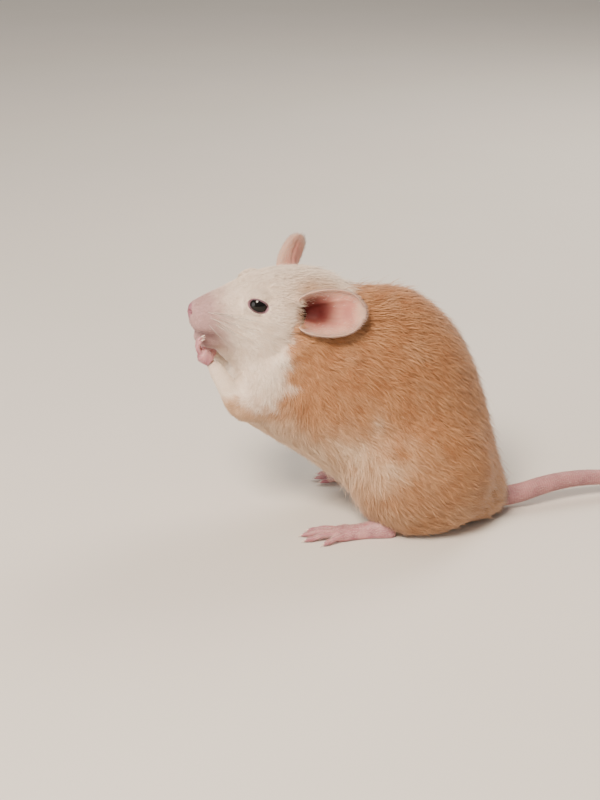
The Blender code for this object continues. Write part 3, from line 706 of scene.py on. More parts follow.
def ear_hollows(places):
    """For each ear, 1 along the inside of its cup, from the root to about half its length, falling to 0."""
    shares = []
    for side, (_, opening) in EAR_AIMS.items():
        root, long_axis = ear_axes(side)[:2]
        line = [root + 2.0 * unit(opening) + step * long_axis for step in (0.6, 6.0)]
        shares.append(bell(distance_to(places, line), 3.0, 4))
    return np.array(shares)


def carve_face(places, normals):
    """Presses nostrils, philtrum, mouth line and ear hollows into the skin, swells the nose pad, lips and
    brow, and wraps the lids round the eyes: a point near an eye goes in or out on its line from the eye's
    centre, to just over the ball outside the almond opening and to behind the ball's front inside it."""
    mirrored = one_side(on_head(places))
    pad = 0.16 * bump_at(mirrored, (0.3, 0.0, 0.2), (1.2, 1.3, 1.2))
    lips = 0.25 * bump_at(mirrored, (3.2, 2.2, -2.8), (2.0, 1.3, 0.9))
    brow = 1.0 * bump_at(mirrored, (13.0, 0.0, 7.0), (5.0, 3.2, 3.0))
    press = 0.5 * bell(distance_to(mirrored, NOSTRIL_LINE), 0.3)
    press += 0.3 * bell(distance_to(mirrored, PHILTRUM_LINE), 0.25)
    press += 0.6 * bell(distance_to(mirrored, MOUTH_LINE), 0.32)
    places = places + normals * (pad + lips + brow - press)[:, None]
    for side, share in zip(EAR_AIMS, ear_hollows(places)):
        places -= 3.2 * share[:, None] * unit(EAR_AIMS[side][1])
    for side in EAR_AIMS:
        centre = eye_axes(side)[0]
        offset = places - centre
        reach = np.linalg.norm(offset, axis=1)
        oval, ahead = lid_oval(places, side)
        near = (reach < 4.2) & (ahead > -0.6)
        lid = smooth_step(oval, 0.9, 1.08)
        wanted = EYE_RADIUS - 0.7 + lid * (0.7 + LID_LIFT)
        opened = near & (lid < 1)
        covered = near & (lid >= 1) & (reach < EYE_RADIUS + LID_LIFT)
        scale = np.ones(len(places))
        scale[opened] = wanted[opened] / np.maximum(reach[opened], 0.3)
        scale[covered] = (EYE_RADIUS + LID_LIFT) / reach[covered]
        places = centre + offset * scale[:, None]
    return places


# A cream streak runs down each flank to the patch before the haunch. Its line is in mm, seen from the side.
CREAM_STREAK = ((-6.0, 0.0, 28.5), (-9.5, 0.0, 20.0))


def markings(places):
    """The coat's markings at places in mm: how fawn it is, how far it fades to cream, and how bare. White
    ends at a ragged line behind the cheeks and bib, which runs back between the ears, and below the
    chest."""
    x, y, z = places.T
    head = on_head(places)
    ragged = 1.1 * waves(places, 5.0, 11) + 0.5 * waves(places, 1.8, 12)
    crown = np.exp(-0.5 * ((y + 0.5) / 4.6) ** 2) * smooth_step(z, 45, 49.5)
    edge = -23.2 + 12.5 * crown + 0.16 * (z - 38) * (z < 38)
    behind = smooth_step(x + ragged, edge - 1.6, edge + 1.6)
    bib_end = 29.0 + 0.10 * (x + 30)
    below = smooth_step(bib_end - z + ragged, -1.5, 1.5)
    fawn = np.maximum(behind, below)
    belly = smooth_step(-x - 1.15 * z + 1.5 * ragged, -14, -2) * smooth_step(np.abs(y), 15, 8) * below
    beside = one_side(places)
    patch = bump_at(beside, (-8.0, 15.5, 18.5), (5.6, 5.0, 3.6))
    streak = bell(distance_to(places * [1, 0, 1], CREAM_STREAK), 1.5)
    patch = np.maximum(patch, 0.8 * streak * smooth_step(beside[:, 1], 6, 9)) * (1 + 0.25 * ragged)
    lower = smooth_step(z, 20, 4) * 0.18
    front = smooth_step(x, 0, -14) * smooth_step(z, 30, 18) * 0.35
    cream = np.clip(0.7 * belly + 0.9 * patch + lower + front + 0.06 * ragged, 0, 1)
    mirrored = one_side(head)
    ear_base = 0.75 * bump_at(mirrored, (23.0, 6.3, 7.8), (4.0, 3.0, 2.0)) * (1 + 0.2 * ragged)
    fawn, cream = np.maximum(fawn, ear_base), np.where(ear_base > fawn, 0.5, cream)
    nose = 1 - smooth_step(np.linalg.norm(head * [0.8, 1, 1] - [0.2, 0, -0.2], axis=1), 1.4, 2.3)
    thin = 0.75 * (1 - smooth_step(np.linalg.norm(head * [1, 0.9, 0.8] - [0, 0, -2.6], axis=1), 5.0, 11.5))
    thin = np.clip(thin + 0.12 * waves(places, 3.0, 13) * thin * (0.75 - thin) * 4, 0, 0.75)
    lip = 0.7 * bell(distance_to(mirrored, MOUTH_LINE), 0.8)
    rim = np.zeros(len(places))
    for side in EAR_AIMS:
        oval, ahead = lid_oval(places, side, LID_BARE)
        rim = np.maximum(rim, (ahead > 0) * (1 - smooth_step(oval, 1.0, 1.12)))
    bare = np.maximum.reduce([nose, thin, lip, rim, smooth_step(ear_hollows(places).max(axis=0), 0.2, 0.6)])
    return np.column_stack([fawn, cream, np.clip(bare, 0, 1)])


def tints(places):
    """How far the skin is the deep red of the ears' hollows, darkened further as painted shade, the mauve of
    the lids' rims, and the painted shade of the nostrils and the mouth's line."""
    lid = smooth_step(eye_reach(places).min(axis=0), EYE_RADIUS + 0.5, EYE_RADIUS + 0.25)
    # Painted shade in the ears' hollows, on top of their redder skin.
    hollow = smooth_step(ear_hollows(places).max(axis=0), 0.03, 0.25)
    mirrored = one_side(on_head(places))
    # Painted shade in the nostrils and along the mouth's line.
    nostrils, mouth = [bell(distance_to(mirrored, line), 0.3) for line in (NOSTRIL_LINE, MOUTH_LINE)]
    return np.column_stack([hollow, lid * markings(places)[:, 2], np.maximum(0.9 * nostrils, 0.6 * mouth)])


# The lie of the coat: a place on one side and the way the hair points there. Head rows are on the head.
HEAD_LIE = (
    ((3.0, 0.0, 3.0), (1.0, 0.0, 0.35)),
    ((12.0, 0.0, 7.0), (1.0, 0.0, 0.2)),
    ((22.0, 0.0, 9.0), (1.0, 0.0, -0.05)),
    ((4.0, 3.5, -0.5), (1.0, 0.35, -0.1)),
    ((9.0, 5.5, 0.0), (1.0, 0.2, 0.0)),
    ((12.0, 6.5, -3.0), (0.9, 0.1, -0.45)),
    ((14.0, 6.0, 6.0), (1.0, 0.1, 0.25)),
    ((19.0, 8.0, 2.0), (1.0, 0.2, -0.1)),
    ((17.0, 8.0, -5.0), (0.75, 0.1, -0.7)),
    ((4.0, 0.0, -4.8), (1.0, 0.0, -0.4)),
    ((9.0, 0.0, -8.0), (0.8, 0.0, -0.7)),
)
BODY_LIE = (
    ((-10.0, 0.0, 50.0), (1.0, 0.0, -0.05)),
    ((2.0, 0.0, 48.5), (1.0, 0.0, -0.35)),
    ((12.0, 0.0, 39.0), (0.6, 0.0, -0.8)),
    ((18.0, 0.0, 24.0), (0.35, 0.0, -0.95)),
    ((23.0, 0.0, 7.0), (0.9, 0.0, -0.35)),
    ((0.0, 11.0, 41.0), (0.85, 0.0, -0.5)),
    ((6.0, 14.0, 30.0), (0.7, 0.0, -0.75)),
    ((-14.0, 11.0, 38.0), (0.85, 0.1, -0.5)),
    ((-22.0, 10.5, 33.0), (0.55, 0.1, -0.8)),
    ((-12.0, 13.0, 25.0), (0.8, 0.0, -0.65)),
    ((5.0, 17.0, 24.0), (0.7, 0.0, -0.75)),
    ((4.0, 19.0, 13.0), (0.85, 0.0, -0.5)),
    ((-9.0, 15.0, 12.0), (0.45, 0.0, -0.9)),
    ((6.0, 15.0, 2.0), (1.0, 0.0, -0.15)),
    ((17.0, 12.0, 8.0), (0.9, 0.0, -0.5)),
    ((-22.0, 0.0, 15.0), (0.8, 0.0, -0.6)),
    ((-12.0, 0.0, 8.0), (0.8, 0.0, -0.6)),
    ((-34.5, 0.0, 23.0), (0.5, 0.0, -0.9)),
    ((-36.0, 0.0, 31.0), (0.1, 0.0, -1.0)),
)
ARM_LIE = (
    ((-24.0, 9.5, 30.0), (-0.5, 0.1, -0.85)),
    ((-32.4, 9.5, 25.0), (-0.2, 0.1, -0.8)),
    ((-35.5, 8.3, 30.0), (-0.45, -0.1, 0.9)),
    ((-38.3, 7.0, 34.5), (-0.45, -0.1, 0.9)),
)


def lie_guides():
    """Every guide of the coat's lie, on both sides, as places in mm and directions."""
    both = np.array([[1, -1, 1], [1, 1, 1]])
    head = np.array(HEAD_LIE)[None] * both[:, None, None]
    head_places = from_head(head[:, :, 0].reshape(-1, 3))
    head_ways = head[:, :, 1].reshape(-1, 3) @ HEAD_TURN.T
    body = np.array(BODY_LIE + ARM_LIE)[None] * both[:, None, None]
    body = body.reshape(-1, 2, 3)
    return np.concatenate([head_places, body[:, 0]]), np.concatenate([unit(head_ways), unit(body[:, 1])])


def coat_lie(places, normals):
    """Unit direction of the hair along the surface: the guides' mean, weighted by nearness, parting round
    the eyes, with a slow swirl that gathers it into loose clumps."""
    total = np.zeros_like(places)
    for place, way in zip(*lie_guides()):
        weight = 1 / (((places - place) ** 2).sum(axis=1) + 5.0) ** 2
        total += weight[:, None] * way
    total = unit(total)
    for side in EAR_AIMS:
        offset = places - eye_axes(side)[0]
        reach = np.linalg.norm(offset, axis=1)
        total += 1.6 * bell(reach - EYE_RADIUS, 1.3)[:, None] * unit(offset)
    total = square_to(total, normals)
    swirl = 0.22 * waves(places, 4.5, 31) + 0.18 * waves(places, 1.6, 32)
    return unit(total + np.cross(normals, total) * swirl[:, None])


def rump_share(places):
    """How far each place on the rump is evened out, but for its underside."""
    return 0.5 * smooth_step(places[:, 0], 8, 15) * smooth_step(places[:, 2], 1, 4)


def crease_share(places):
    """How far each place is evened out: the body behind the head, jaw and throat, but not the forearms."""
    back, _, up = on_head(places).T
    behind = smooth_step(back, 20, 30)
    throat = smooth_step(back, 5, 10) * smooth_step(-up, 4.5, 7.5)
    return 0.5 * np.maximum(behind, throat) * (1 - forearm_share(places))


def tuck_wrists(places):
    """Draws the end of each forearm on along the arm by up to 0.7 mm and in towards its middle line, so
    that the skin runs into the paw."""
    for _, wrist, knuckles in PAWS.values():
        axis = unit(knuckles - wrist)
        offset = places - wrist
        reach = offset @ axis
        radial = offset - reach[:, None] * axis
        breadth = np.linalg.norm(radial, axis=1)
        share = smooth_step(reach, -2.0, 0.0) * smooth_step(reach, 2.5, 1.5)
        share *= smooth_step(breadth, 3.0, 2.4)
        places = places + share[:, None] * (0.7 * axis - 0.35 * radial)
    return places


def make_skin():
    """Skin of head, neck, trunk and legs, closed over the eyes, with the solids' creases evened out on the
    body, let down by the coat's depth, and the face worked into it."""
    skin = remeshed("skin", (*FLESH, "eye_left", "eye_right"), JOIN_GROW, SKIN_VOXEL, 5)
    soften(skin, crease_share, CREASE_ROUNDS)
    soften(skin, rump_share, RUMP_ROUNDS)
    places = places_of(skin)
    move_points(skin.data, world(places - normals_of(skin.data) * coat_depth(places)[:, None]))
    refine(skin, lambda near: (on_head(near)[:, 0] < 19) | (ear_hollows(near).max(axis=0) > 0.02))
    refine(skin, lambda near: (on_head(near)[:, 0] < 6.5) | (eye_reach(near).min(axis=0) < 3.3))
    places = tuck_wrists(carve_face(places_of(skin), normals_of(skin.data)))
    move_points(skin.data, world(above_floor(places, SKIN_OFF_FLOOR)))
    skin.data.shade_smooth()
    return skin


# Fur

# The coat's pieces, its locks, and the breadth of the patch of the unwrap that a lock has, as a share of it.
COAT_PIECES = 8
COAT_LOCKS = 240000
PATCH = 0.003

# The least gap between a lock and an ear's sheet, in mm, on a coarse grid of the sheet, and the coat's
# pieces that are white.
EAR_GAP, EAR_COARSE_GRID = 0.45, (40, 34)
WHITE_PIECES = 2

# A lock of hair is a spindle: one point at its root, a ring of three at its waist, one point at its tip.
# Its normals lean to the skin's by SOFTNESS.
LOCK_FACES = np.array([(0, 2, 1), (0, 3, 2), (0, 1, 3), (1, 2, 4), (2, 3, 4), (3, 1, 4)])
LOCK_POINTS, LOCK_WAIST = 5, 0.42
SOFTNESS = 1.5


def unwrap(obj):
    """Unwraps a piece's own shape into its OFBake map and returns each corner's place there."""
    obj.data.uv_layers.active = obj.data.uv_layers.new(name="OFBake")
    bpy.context.view_layer.objects.active = obj
    obj.select_set(True)
    bpy.ops.object.mode_set(mode="EDIT")
    bpy.ops.mesh.select_all(action="SELECT")
    bpy.ops.uv.smart_project(angle_limit=math.radians(66), island_margin=0.002)
    bpy.ops.object.mode_set(mode="OBJECT")
    obj.select_set(False)
    return values_of(obj.data.uv_layers["OFBake"].data, "uv", 2)


def roots_on(obj, count, density, seed, uv_places):
    """Random roots on a surface, each triangle taking a share by its area times the density at its middle.
    Returns places in mm, normals and places on the unwrap."""
    mesh = obj.data
    mesh.calc_loop_triangles()
    corners, loops = [values_of(mesh.loop_triangles, name, 3, np.int32) for name in ("vertices", "loops")]
    normals = normals_of(mesh)
    triangle = places_of(obj)[corners]
    near, far = triangle[:, 1] - triangle[:, 0], triangle[:, 2] - triangle[:, 0]
    area = np.linalg.norm(np.cross(near, far), axis=1)
    share = np.cumsum(area * density(triangle.mean(axis=1)))
    draw = np.random.default_rng(seed)
    picked = np.searchsorted(share, (np.arange(count) + draw.random(count)) / count * share[-1])
    picked = np.minimum(picked, len(corners) - 1)
    first, second = draw.random(count), draw.random(count)
    outside = first + second > 1
    first, second = np.where(outside, 1 - first, first), np.where(outside, 1 - second, second)
    weights = np.column_stack([1 - first - second, first, second])[..., None]
    root = (triangle[picked] * weights).sum(axis=1)
    normal = unit((normals[corners[picked]] * weights).sum(axis=1))
    return root, normal, (uv_places[loops[picked]] * weights).sum(axis=1)


def fur_size(places):
    """Length and width of a lock in mm and its lift as a slope: smallest on the face and forearms, and
    longer just in front of the ears, where it falls across their cups."""
    head = on_head(places)
    face = smooth_step(head[:, 0], 1, 34)
    short = 1 - 0.5 * forearm_share(places)
    short *= (1 - 0.5 * bell(eye_reach(places) - EYE_RADIUS, 1.4)).prod(axis=0)
    short *= 1 + 0.5 * bump_at(one_side(head), (19.5, 8.5, 2.5), (1.6, 3.0, 3.0))
    low = smooth_step(places[:, 2], 6, 0)
    length = (0.7 + 2.6 * face**0.9) * short * (1 - 0.3 * low)
    width = 0.07 + 0.055 * face
    lift = (0.13 + 0.19 * face**2) * (1 - 0.6 * low)
    return length, width, lift


def fur_density(places):
    """Share of locks for each square mm, closer on the face where they are smallest, none on bare skin."""
    face = smooth_step(on_head(places)[:, 0], 2, 26)
    bare = markings(places)[:, 2]
    dense = (2.4 - 1.4 * face) * (1 - 0.65 * smooth_step(bare, 0.1, 0.6))
    dense *= 1 - smooth_step(bare, 0.76, 0.95)
    dense *= ear_hollows(places).max(axis=0) < 0.25
    for _, wrist, knuckles in PAWS.values():
        in_paw = (places - wrist) @ unit(knuckles - wrist) > -0.1
        dense *= ~(in_paw & (distance_to(places, [wrist, knuckles]) < 3))
    return dense * (eye_reach(places).min(axis=0) > EYE_RADIUS + 0.05)


def lock_points(root, normal, way, length, width, lift, seed):
    """Points of locks, five each, from the roots in mm. A place on a lock's middle line is root + way * t *
    length + normal * lift * length * (1.6 t - 0.8 t * t), plus a sideways curl that grows with t * t."""
    draw = np.random.default_rng(seed)
    count = len(root)
    turn = draw.normal(0, 0.15, count)[:, None]
    way = way * np.cos(turn) + np.cross(normal, way) * np.sin(turn)
    across = np.cross(normal, way)
    length = (length * draw.uniform(0.7, 1.25, count))[:, None]
    lift = (lift * draw.lognormal(-0.08, 0.38, count))[:, None]
    curl = draw.normal(0, 0.1, count)[:, None]

    def place(t):
        return root + length * (way * t + normal * lift * (1.6 * t - 0.8 * t * t) + across * curl * t * t)

    half = width[:, None] / 2
    waist = place(LOCK_WAIST)
    ring = [waist + across * half, waist + normal * half * 0.8, waist - across * half]
    return np.stack([root - normal * 0.1, *ring, place(1.0)], axis=1)


def lock_piece(name, points, normal, flat, marks, seed, material, slot_name):
    """One piece of the coat from its locks' points: triangles, the markings at the roots, place along and
    shade of each lock, and a patch of the unwrap at each root. A lock's own normals lean to the skin's
    normal at its root, so that the locks are lit as one soft coat."""
    count = len(points)
    points = above_floor(points, LOCKS_OFF_FLOOR)
    faces = LOCK_FACES[None] + (np.arange(count) * LOCK_POINTS)[:, None, None]
    obj = new_object(name, world(points.reshape(-1, 3)), faces.reshape(-1, 3), material)
    soft = unit(normals_of(obj.data) + SOFTNESS * np.repeat(normal, LOCK_POINTS, axis=0))
    obj.data.normals_split_custom_set_from_vertices(soft)
    along = np.tile([0, LOCK_WAIST, LOCK_WAIST, LOCK_WAIST, 1.0], count)
    draw = np.random.default_rng(seed)
    streaks = 0.14 * waves(points[:, 0] * [0.45, 1, 0.8], 1.5, 41) + 0.08 * waves(points[:, 0], 6.0, 42)
    shade = 0.5 + draw.normal(0, 0.16, count) + streaks
    shade = np.repeat(np.clip(shade, 0, 1), LOCK_POINTS)
    point_colour(obj, "strand", np.column_stack([along, shade, np.zeros(len(shade))]))
    point_colour(obj, "marks", np.repeat(marks, LOCK_POINTS, axis=0))
    patch = (np.array([(0.5, 0), (0, 0.4), (0.5, 0.5), (1, 0.4), (0.5, 1)]) - 0.5) * PATCH
    corner_uv(obj, "OFBake", (flat[:, None] + patch).reshape(-1, 2))
    return obj


def clear_of_ears_and_eyes(root, points):
    """False for a lock that would come through an ear's sheet, its waist or tip too near to it, or that
    would lie across the opening of the lids."""
    clear = np.ones(len(root), bool)
    for side in EAR_AIMS:
        sheet = ear_surface(side, *EAR_COARSE_GRID, 0.0)[0].reshape(-1, 3)
        near = np.flatnonzero(np.linalg.norm(root - sheet.mean(axis=0), axis=1) < 11)
        for end in (points[:, 2], points[:, 4]):
            for rows in np.array_split(near, max(1, len(near) // 2000)):
                clear[rows] &= np.linalg.norm(end[rows, None] - sheet[None], axis=2).min(axis=1) > EAR_GAP
            oval, ahead = lid_oval(end, side)
            clear &= (oval > 1.12) | (ahead < 0) | (np.linalg.norm(end - eye_axes(side)[0], axis=1) > 4)
    return clear


def make_coat(skin, material):
    """The coat, sorted from the muzzle to the tail and cut into pieces. Returns each skin point's place on
    the unwrap."""
    uv_places = unwrap(skin)
    total = COAT_LOCKS // 1
    root, normal, flat = roots_on(skin, total, fur_density, SEED, uv_places)
    length, width, lift = fur_size(root)
    points = lock_points(root, normal, coat_lie(root, normal), length, width, lift, SEED + 1)
    kept = np.flatnonzero(clear_of_ears_and_eyes(root, points))
    kept = kept[np.argsort(root[kept, 0] - 0.6 * root[kept, 2])]
    marks = markings(root)
    for number, rows in enumerate(np.array_split(kept, COAT_PIECES)):
        slot_name = "white_coat" if number < WHITE_PIECES else "coat"
        parts = points[rows], normal[rows], flat[rows], marks[rows]
        lock_piece(f"coat_{number + 1}", *parts, SEED + number, material, slot_name)
    at_points = np.empty((len(skin.data.vertices), 2))
    at_points[corners_of(skin.data)] = uv_places
    return at_points


def short_hairs(name, obj, count, density, lie, size, marks, seed, material, slot_name):
    """Sparse short hairs on a bare piece. lie gives the way they point from their roots, size is their
    length, width and lift, and marks are their markings."""
    total = count // 1
    root, normal, flat = roots_on(obj, total, density, seed, unwrap(obj))
    sizes = np.tile(np.array(size)[:, None], total)
    points = lock_points(root, normal, square_to(lie(root), normal), *sizes, seed + 1)
    marks = np.tile(np.array(marks, float), (total, 1))
    lock_piece(name, points, normal, flat, marks, seed + 2, material, slot_name)


# Ears

def ear_surface(side, rows, columns, push):
    """Sheet of an ear. Across it, at each share of its length, runs an arc of the outline's breadth, curled
    tightly at the root and opening to a shallow dish at the tip, and the whole bends back towards the tip.
    push moves it along its own facing by half its thickness, which thins to the edge. The inside is pressed
    in at the conch, ribbed in two places and rolled over at the rim. Returns places, and shares along and
    across."""
    root, long_axis, opening, broad = ear_axes(side)
    along = np.linspace(0, 1, rows)
    across = np.linspace(-1, 1, columns)
    shares, breadths = np.array(EAR_OUTLINE).T
    half = EAR_BREADTH / 2 * through(shares, breadths[:, None], along)[:, 0]
    curl = np.radians(EAR_ROOT_CURL + (EAR_TIP_CURL - EAR_ROOT_CURL) * np.sqrt(along))
    radius = 2 * half / curl
    angle = across[None] * curl[:, None] / 2
    backward = EAR_BEND_BACK * along**2 - EAR_SET_FORWARD
    facing = opening * np.cos(angle)[..., None] - broad * np.sin(angle)[..., None]
    sheet = (
        root
        + long_axis * (EAR_LENGTH * along)[:, None, None]
        + broad * (radius[:, None] * np.sin(angle))[..., None]
        + opening * (radius[:, None] * (1 - np.cos(angle)) - backward[:, None])[..., None]
    )
    along_grid, across_grid = along[:, None], across[None]
    fade = 1 - smooth_step(along_grid, 0.55, 0.95)
    relief = 0.5 * smooth_step(np.abs(across_grid), 0.8, 1.0) ** 2 * smooth_step(along_grid, 0.0, 0.3)
    relief = relief - 1.2 * bell(along_grid - 0.16, 0.17) * bell(across_grid, 0.5)
    for place, slope in ((0.30, 0.25), (-0.28, -0.35)):
        relief = relief + 0.28 * fade * bell(across_grid - place - slope * along_grid, 0.09)
    relief = relief + 0.12 * np.sin(6 * along_grid + 2.2 * across_grid) * across_grid**2 * along_grid
    edge = np.clip((1 - np.abs(across_grid)) / 0.12, 0, 1) * np.clip((1 - along_grid) / 0.06, 0, 1)
    half_thick = EAR_THICKNESS / 2 * (0.35 + 0.65 * np.sqrt(edge))
    return sheet + facing * (relief + push * half_thick)[..., None], along, across


# The ear's grid and hairs, the middle of its deep tone, which is partly painted shade in the hollow, as a
# share across, and the clumps and locks that hang before it.
EAR_GRID = (88, 76)
EAR_HAIRS = 2400
EAR_DEEP_SHADE_SIDE = -0.12
FRINGE_CLUMPS, FRINGE_LOCKS = 7, 560


def make_ear(side, material, hair_material):
    """Ear of a front and a back sheet on one grid, with a wall between their edges, and short hair that is
    closest at the rim. Its tone is how deep in the hollow a point is, where the skin is painted dark partly
    as shade, how near the rim, and how far on a vein."""
    rows, columns = EAR_GRID
    front, along, across = ear_surface(side, rows, columns, 1.0)
    back = ear_surface(side, rows, columns, -1.0)[0]
    quads = grid_faces(rows, columns)
    behind = rows * columns
    grid = np.arange(behind).reshape(rows, columns)
    rim = np.concatenate([grid[0, :-1], grid[:-1, -1], grid[-1, :0:-1], grid[:0:-1, 0]])
    after = np.roll(rim, -1)
    wall = np.column_stack([rim, after, behind + after, behind + rim])
    faces = np.concatenate([quads, (quads + behind)[:, ::-1], wall])
    points = np.concatenate([front.reshape(-1, 3), back.reshape(-1, 3)])
    obj = new_object("ear_fine_" + side, world(points), faces, material)
    outward(obj)
    # The deep tone: the hollow's redder skin, painted darker as shade.
    deep = bell(along[:, None] - 0.12, 0.42, 4) * bell(across[None] - EAR_DEEP_SHADE_SIDE, 0.6, 4)
    near_rim = np.maximum(np.abs(across)[None], smooth_step(along, 0.6, 1.0)[:, None]) ** 3
    vein = np.zeros((rows, columns))
    for number, (start, slope) in enumerate(((-0.25, -0.5), (-0.1, -0.15), (0.05, 0.2), (0.2, 0.5))):
        bent = start + slope * along + 0.05 * np.sin(8 * along + 2 * number)
        width = 0.035 * (1.1 - 0.6 * along)[:, None]
        vein = np.maximum(vein, 0.35 * bell(across[None] - bent[:, None], width))
    vein = vein * smooth_step(0.9 - along, 0, 0.4)[:, None]
    tones = np.stack([deep, near_rim, vein], axis=-1).reshape(-1, 3)
    point_colour(obj, "tone", np.concatenate([tones, tones * [0, 1, 0.6]]))
    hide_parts("ear_" + side)
    edge = np.concatenate([front[::4, 0], front[-1, ::4], front[::-4, -1]])

    def density(near):
        return bell(distance_to(near, edge), 1.4)

    hairs = EAR_HAIRS, density, lambda near: ear_axes(side)[1], (0.8, 0.06, 0.3), (0.5, 0.7, 0.45)
    short_hairs("ear_hair_" + side, obj, *hairs, SEED + 27, hair_material, "coat")


def make_ear_fringe(side, skin, flat_places, material):
    """Clumps of longer hair in front of an ear, which fall back across its hollow. Each lock is rooted at
    the skin's point nearest to its place in a strip before the hollow, and aims at its clump's tip."""
    base, long_axis, opening, broad = ear_axes(side)
    base = base + 2.2 * opening
    draw = np.random.default_rng(SEED + 60)
    clump = draw.integers(0, FRINGE_CLUMPS, FRINGE_LOCKS)
    middle_line = np.linspace(-2.9, 2.9, FRINGE_CLUMPS)[clump]
    ahead, beside = draw.uniform(-3.4, -1.8, FRINGE_LOCKS), middle_line + draw.normal(0, 0.36, FRINGE_LOCKS)
    wanted = base + ahead[:, None] * long_axis + beside[:, None] * broad
    places, normals = places_of(skin), normals_of(skin.data)
    near = np.flatnonzero(np.linalg.norm(places - base, axis=1) < 9)
    root = near[np.linalg.norm(places[near][None] - wanted[:, None], axis=2).argmin(axis=1)]
    tip = base + (1.0 + 0.8 * np.sin(2.4 * clump))[:, None] * long_axis
    tip = tip + (0.8 * middle_line)[:, None] * broad
    way = unit(tip + 1.4 * opening - places[root])
    length = draw.uniform(2.4, 3.6, FRINGE_LOCKS)
    size = np.ones(FRINGE_LOCKS)
    locks = lock_points(places[root], normals[root], way, length, 0.16 * size, 0.06 * size, SEED + 61)
    parts = locks, normals[root], flat_places[root], markings(places[root]) * [1, 1, 0]
    lock_piece("ear_fringe_" + side, *parts, SEED + 62, material, "coat")


# Eyes

def make_eye(side, ball_material, lid_material):
    """Eyeball and the wet rim of its lids. The ball is rings about the gaze, from pole to pole. The rim is
    a thin tube round the almond opening, pinched at the tear corner, which lies on the ball."""
    centre, gaze, corner, lid_up = eye_axes(side)
    rows, columns = EYE_GRID
    tilt = np.linspace(0.02, math.pi - 0.02, rows)[:, None, None]
    turn = turns(columns)[:, None]
    radial = corner * np.cos(turn) + lid_up * np.sin(turn)
    rings = centre + EYE_RADIUS * (gaze * np.cos(tilt) + radial * np.sin(tilt))
    poles = centre + EYE_RADIUS * np.array([gaze, -gaze])
    points = world(np.concatenate([rings.reshape(-1, 3), poles]))
    eye = new_object("eye_fine_" + side, points, capped_faces(rows, columns), ball_material)
    outward(eye)
    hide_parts("eye_" + side)

    around = turns(LID_STEPS)
    aside = LID_OPENING[0] * np.cos(around) * (1 + 0.16 * np.maximum(0, -np.cos(around)) ** 8)
    over = LID_OPENING[1] * np.sin(around) * (1 - 0.1 * np.cos(around) ** 8)
    ahead = np.sqrt(np.maximum((EYE_RADIUS + 0.05) ** 2 - aside**2 - over**2, 0.05))
    path = centre + np.stack([aside, over, ahead], axis=-1) @ np.array([corner, lid_up, gaze])
    away = unit(path - centre)
    beside = np.cross(unit(np.roll(path, -1, axis=0) - np.roll(path, 1, axis=0)), away)
    angle = turns(LID_SIDES)[:, None]
    radius = (LID_RIM + 0.05 * np.cos(around) ** 4)[:, None, None]
    ring = away[:, None] * np.cos(angle) * 0.8 + beside[:, None] * np.sin(angle)
    points = world((path[:, None] + ring * radius).reshape(-1, 3))
    faces = grid_faces(LID_STEPS, LID_SIDES, True, True)
    outward(new_object("lid_" + side, points, faces, lid_material))


# Paws and feet

def make_bare_part(node_name, skin_material, hair_material, voxel, hairs, hair_height, way):
    """Fine copy of a paw or foot on a grid in mm, with short sparse hairs above a height in mm."""
    obj = remeshed(node_name + "_skin", (node_name,), 0.0, voxel, 3)
    finish(obj, skin_material)
    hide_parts(node_name)

    def upper(near):
        return near[:, 2] > hair_height

    hairs = hairs, upper, lambda near: np.array(way), (0.6, 0.06, 0.3), (0, 0, 0.5)
    short_hairs(node_name + "_hair", obj, *hairs, SEED + 7, hair_material, "white_coat")


def claw_paths():
    """Middle lines of all the claws in mm: each starts at a digit's end and curves over and down to its
    point. A hind toe's line runs from its foot's heel, and a finger's from its paw's knuckles."""
    steps = np.linspace(0, 1, CLAW_STEPS)[:, None]
    paths = []
    for side, heel in FOOT_HEELS.items():
        sign = side_sign(side)
        spread = math.radians(FOOT_TURN_OUT)
        ahead = np.array([-math.cos(spread), sign * math.sin(spread), 0])
        out = np.array([math.sin(spread), sign * math.cos(spread), 0])
        for forward, outward_place, turn, length in TOES:
            way = math.cos(math.radians(turn)) * ahead + math.sin(math.radians(turn)) * out
            start = heel + forward * ahead + outward_place * out + 0.91 * length * way + [0, 0, 0.66]
            paths.append(start + CLAW_LENGTH * (way * steps + UP * (0.25 * steps - 0.62 * steps**2)))
    for side, (_, wrist, knuckles) in PAWS.items():
        reach = unit(knuckles - wrist)
        out = square_to(np.array([0.25, side_sign(side), 0.0]), reach)
        curl = unit(np.cross(out, reach)) * side_sign(side)
        for place, length in FINGERS:
            base = knuckles - 0.9 * reach + place * out
            start = base + length * (0.91 * reach + 0.86 * curl) + 0.12 * place * out
            paths.append(start + 0.75 * CLAW_LENGTH * (curl * steps - reach * 0.3 * steps**2))
    return np.array(paths)


def make_claws(material):
    paths = claw_paths()
    taper = CLAW_RADIUS * (1 - 0.9 * np.linspace(0, 1, CLAW_STEPS)) ** 0.7
    points, triangles = tubes(paths, np.tile(taper, (len(paths), 1)), CLAW_SIDES)
    points = world(above_floor(points, BARE_OFF_FLOOR))
    outward(new_object("claws", points, triangles, material))


# Tail

def tail_path(count):
    """Centres, radii and lengths along the tail: the route's smooth curve, laid on the floor."""
    route = np.array(TAIL_ROUTE)
    places = np.linspace(0, TAIL_LENGTH, count)
    centres = through(lengths_along(route), route, places)
    radii = TAIL_ROOT_RADIUS + (TAIL_TIP_RADIUS - TAIL_ROOT_RADIUS) * (places / TAIL_LENGTH) ** 0.85
    lying = smooth_step(centres[:, 0], TAIL_ON_FLOOR - 12, TAIL_ON_FLOOR + 6)
    centres[:, 2] += lying * (np.minimum(centres[:, 2], radii) - centres[:, 2])
    centres[:, 2] = np.maximum(centres[:, 2], radii - 0.1)
    tip = np.sqrt(np.clip((TAIL_LENGTH - places) / TAIL_TIP_RADIUS, 0.02, 1))
    return centres, radii * tip, places


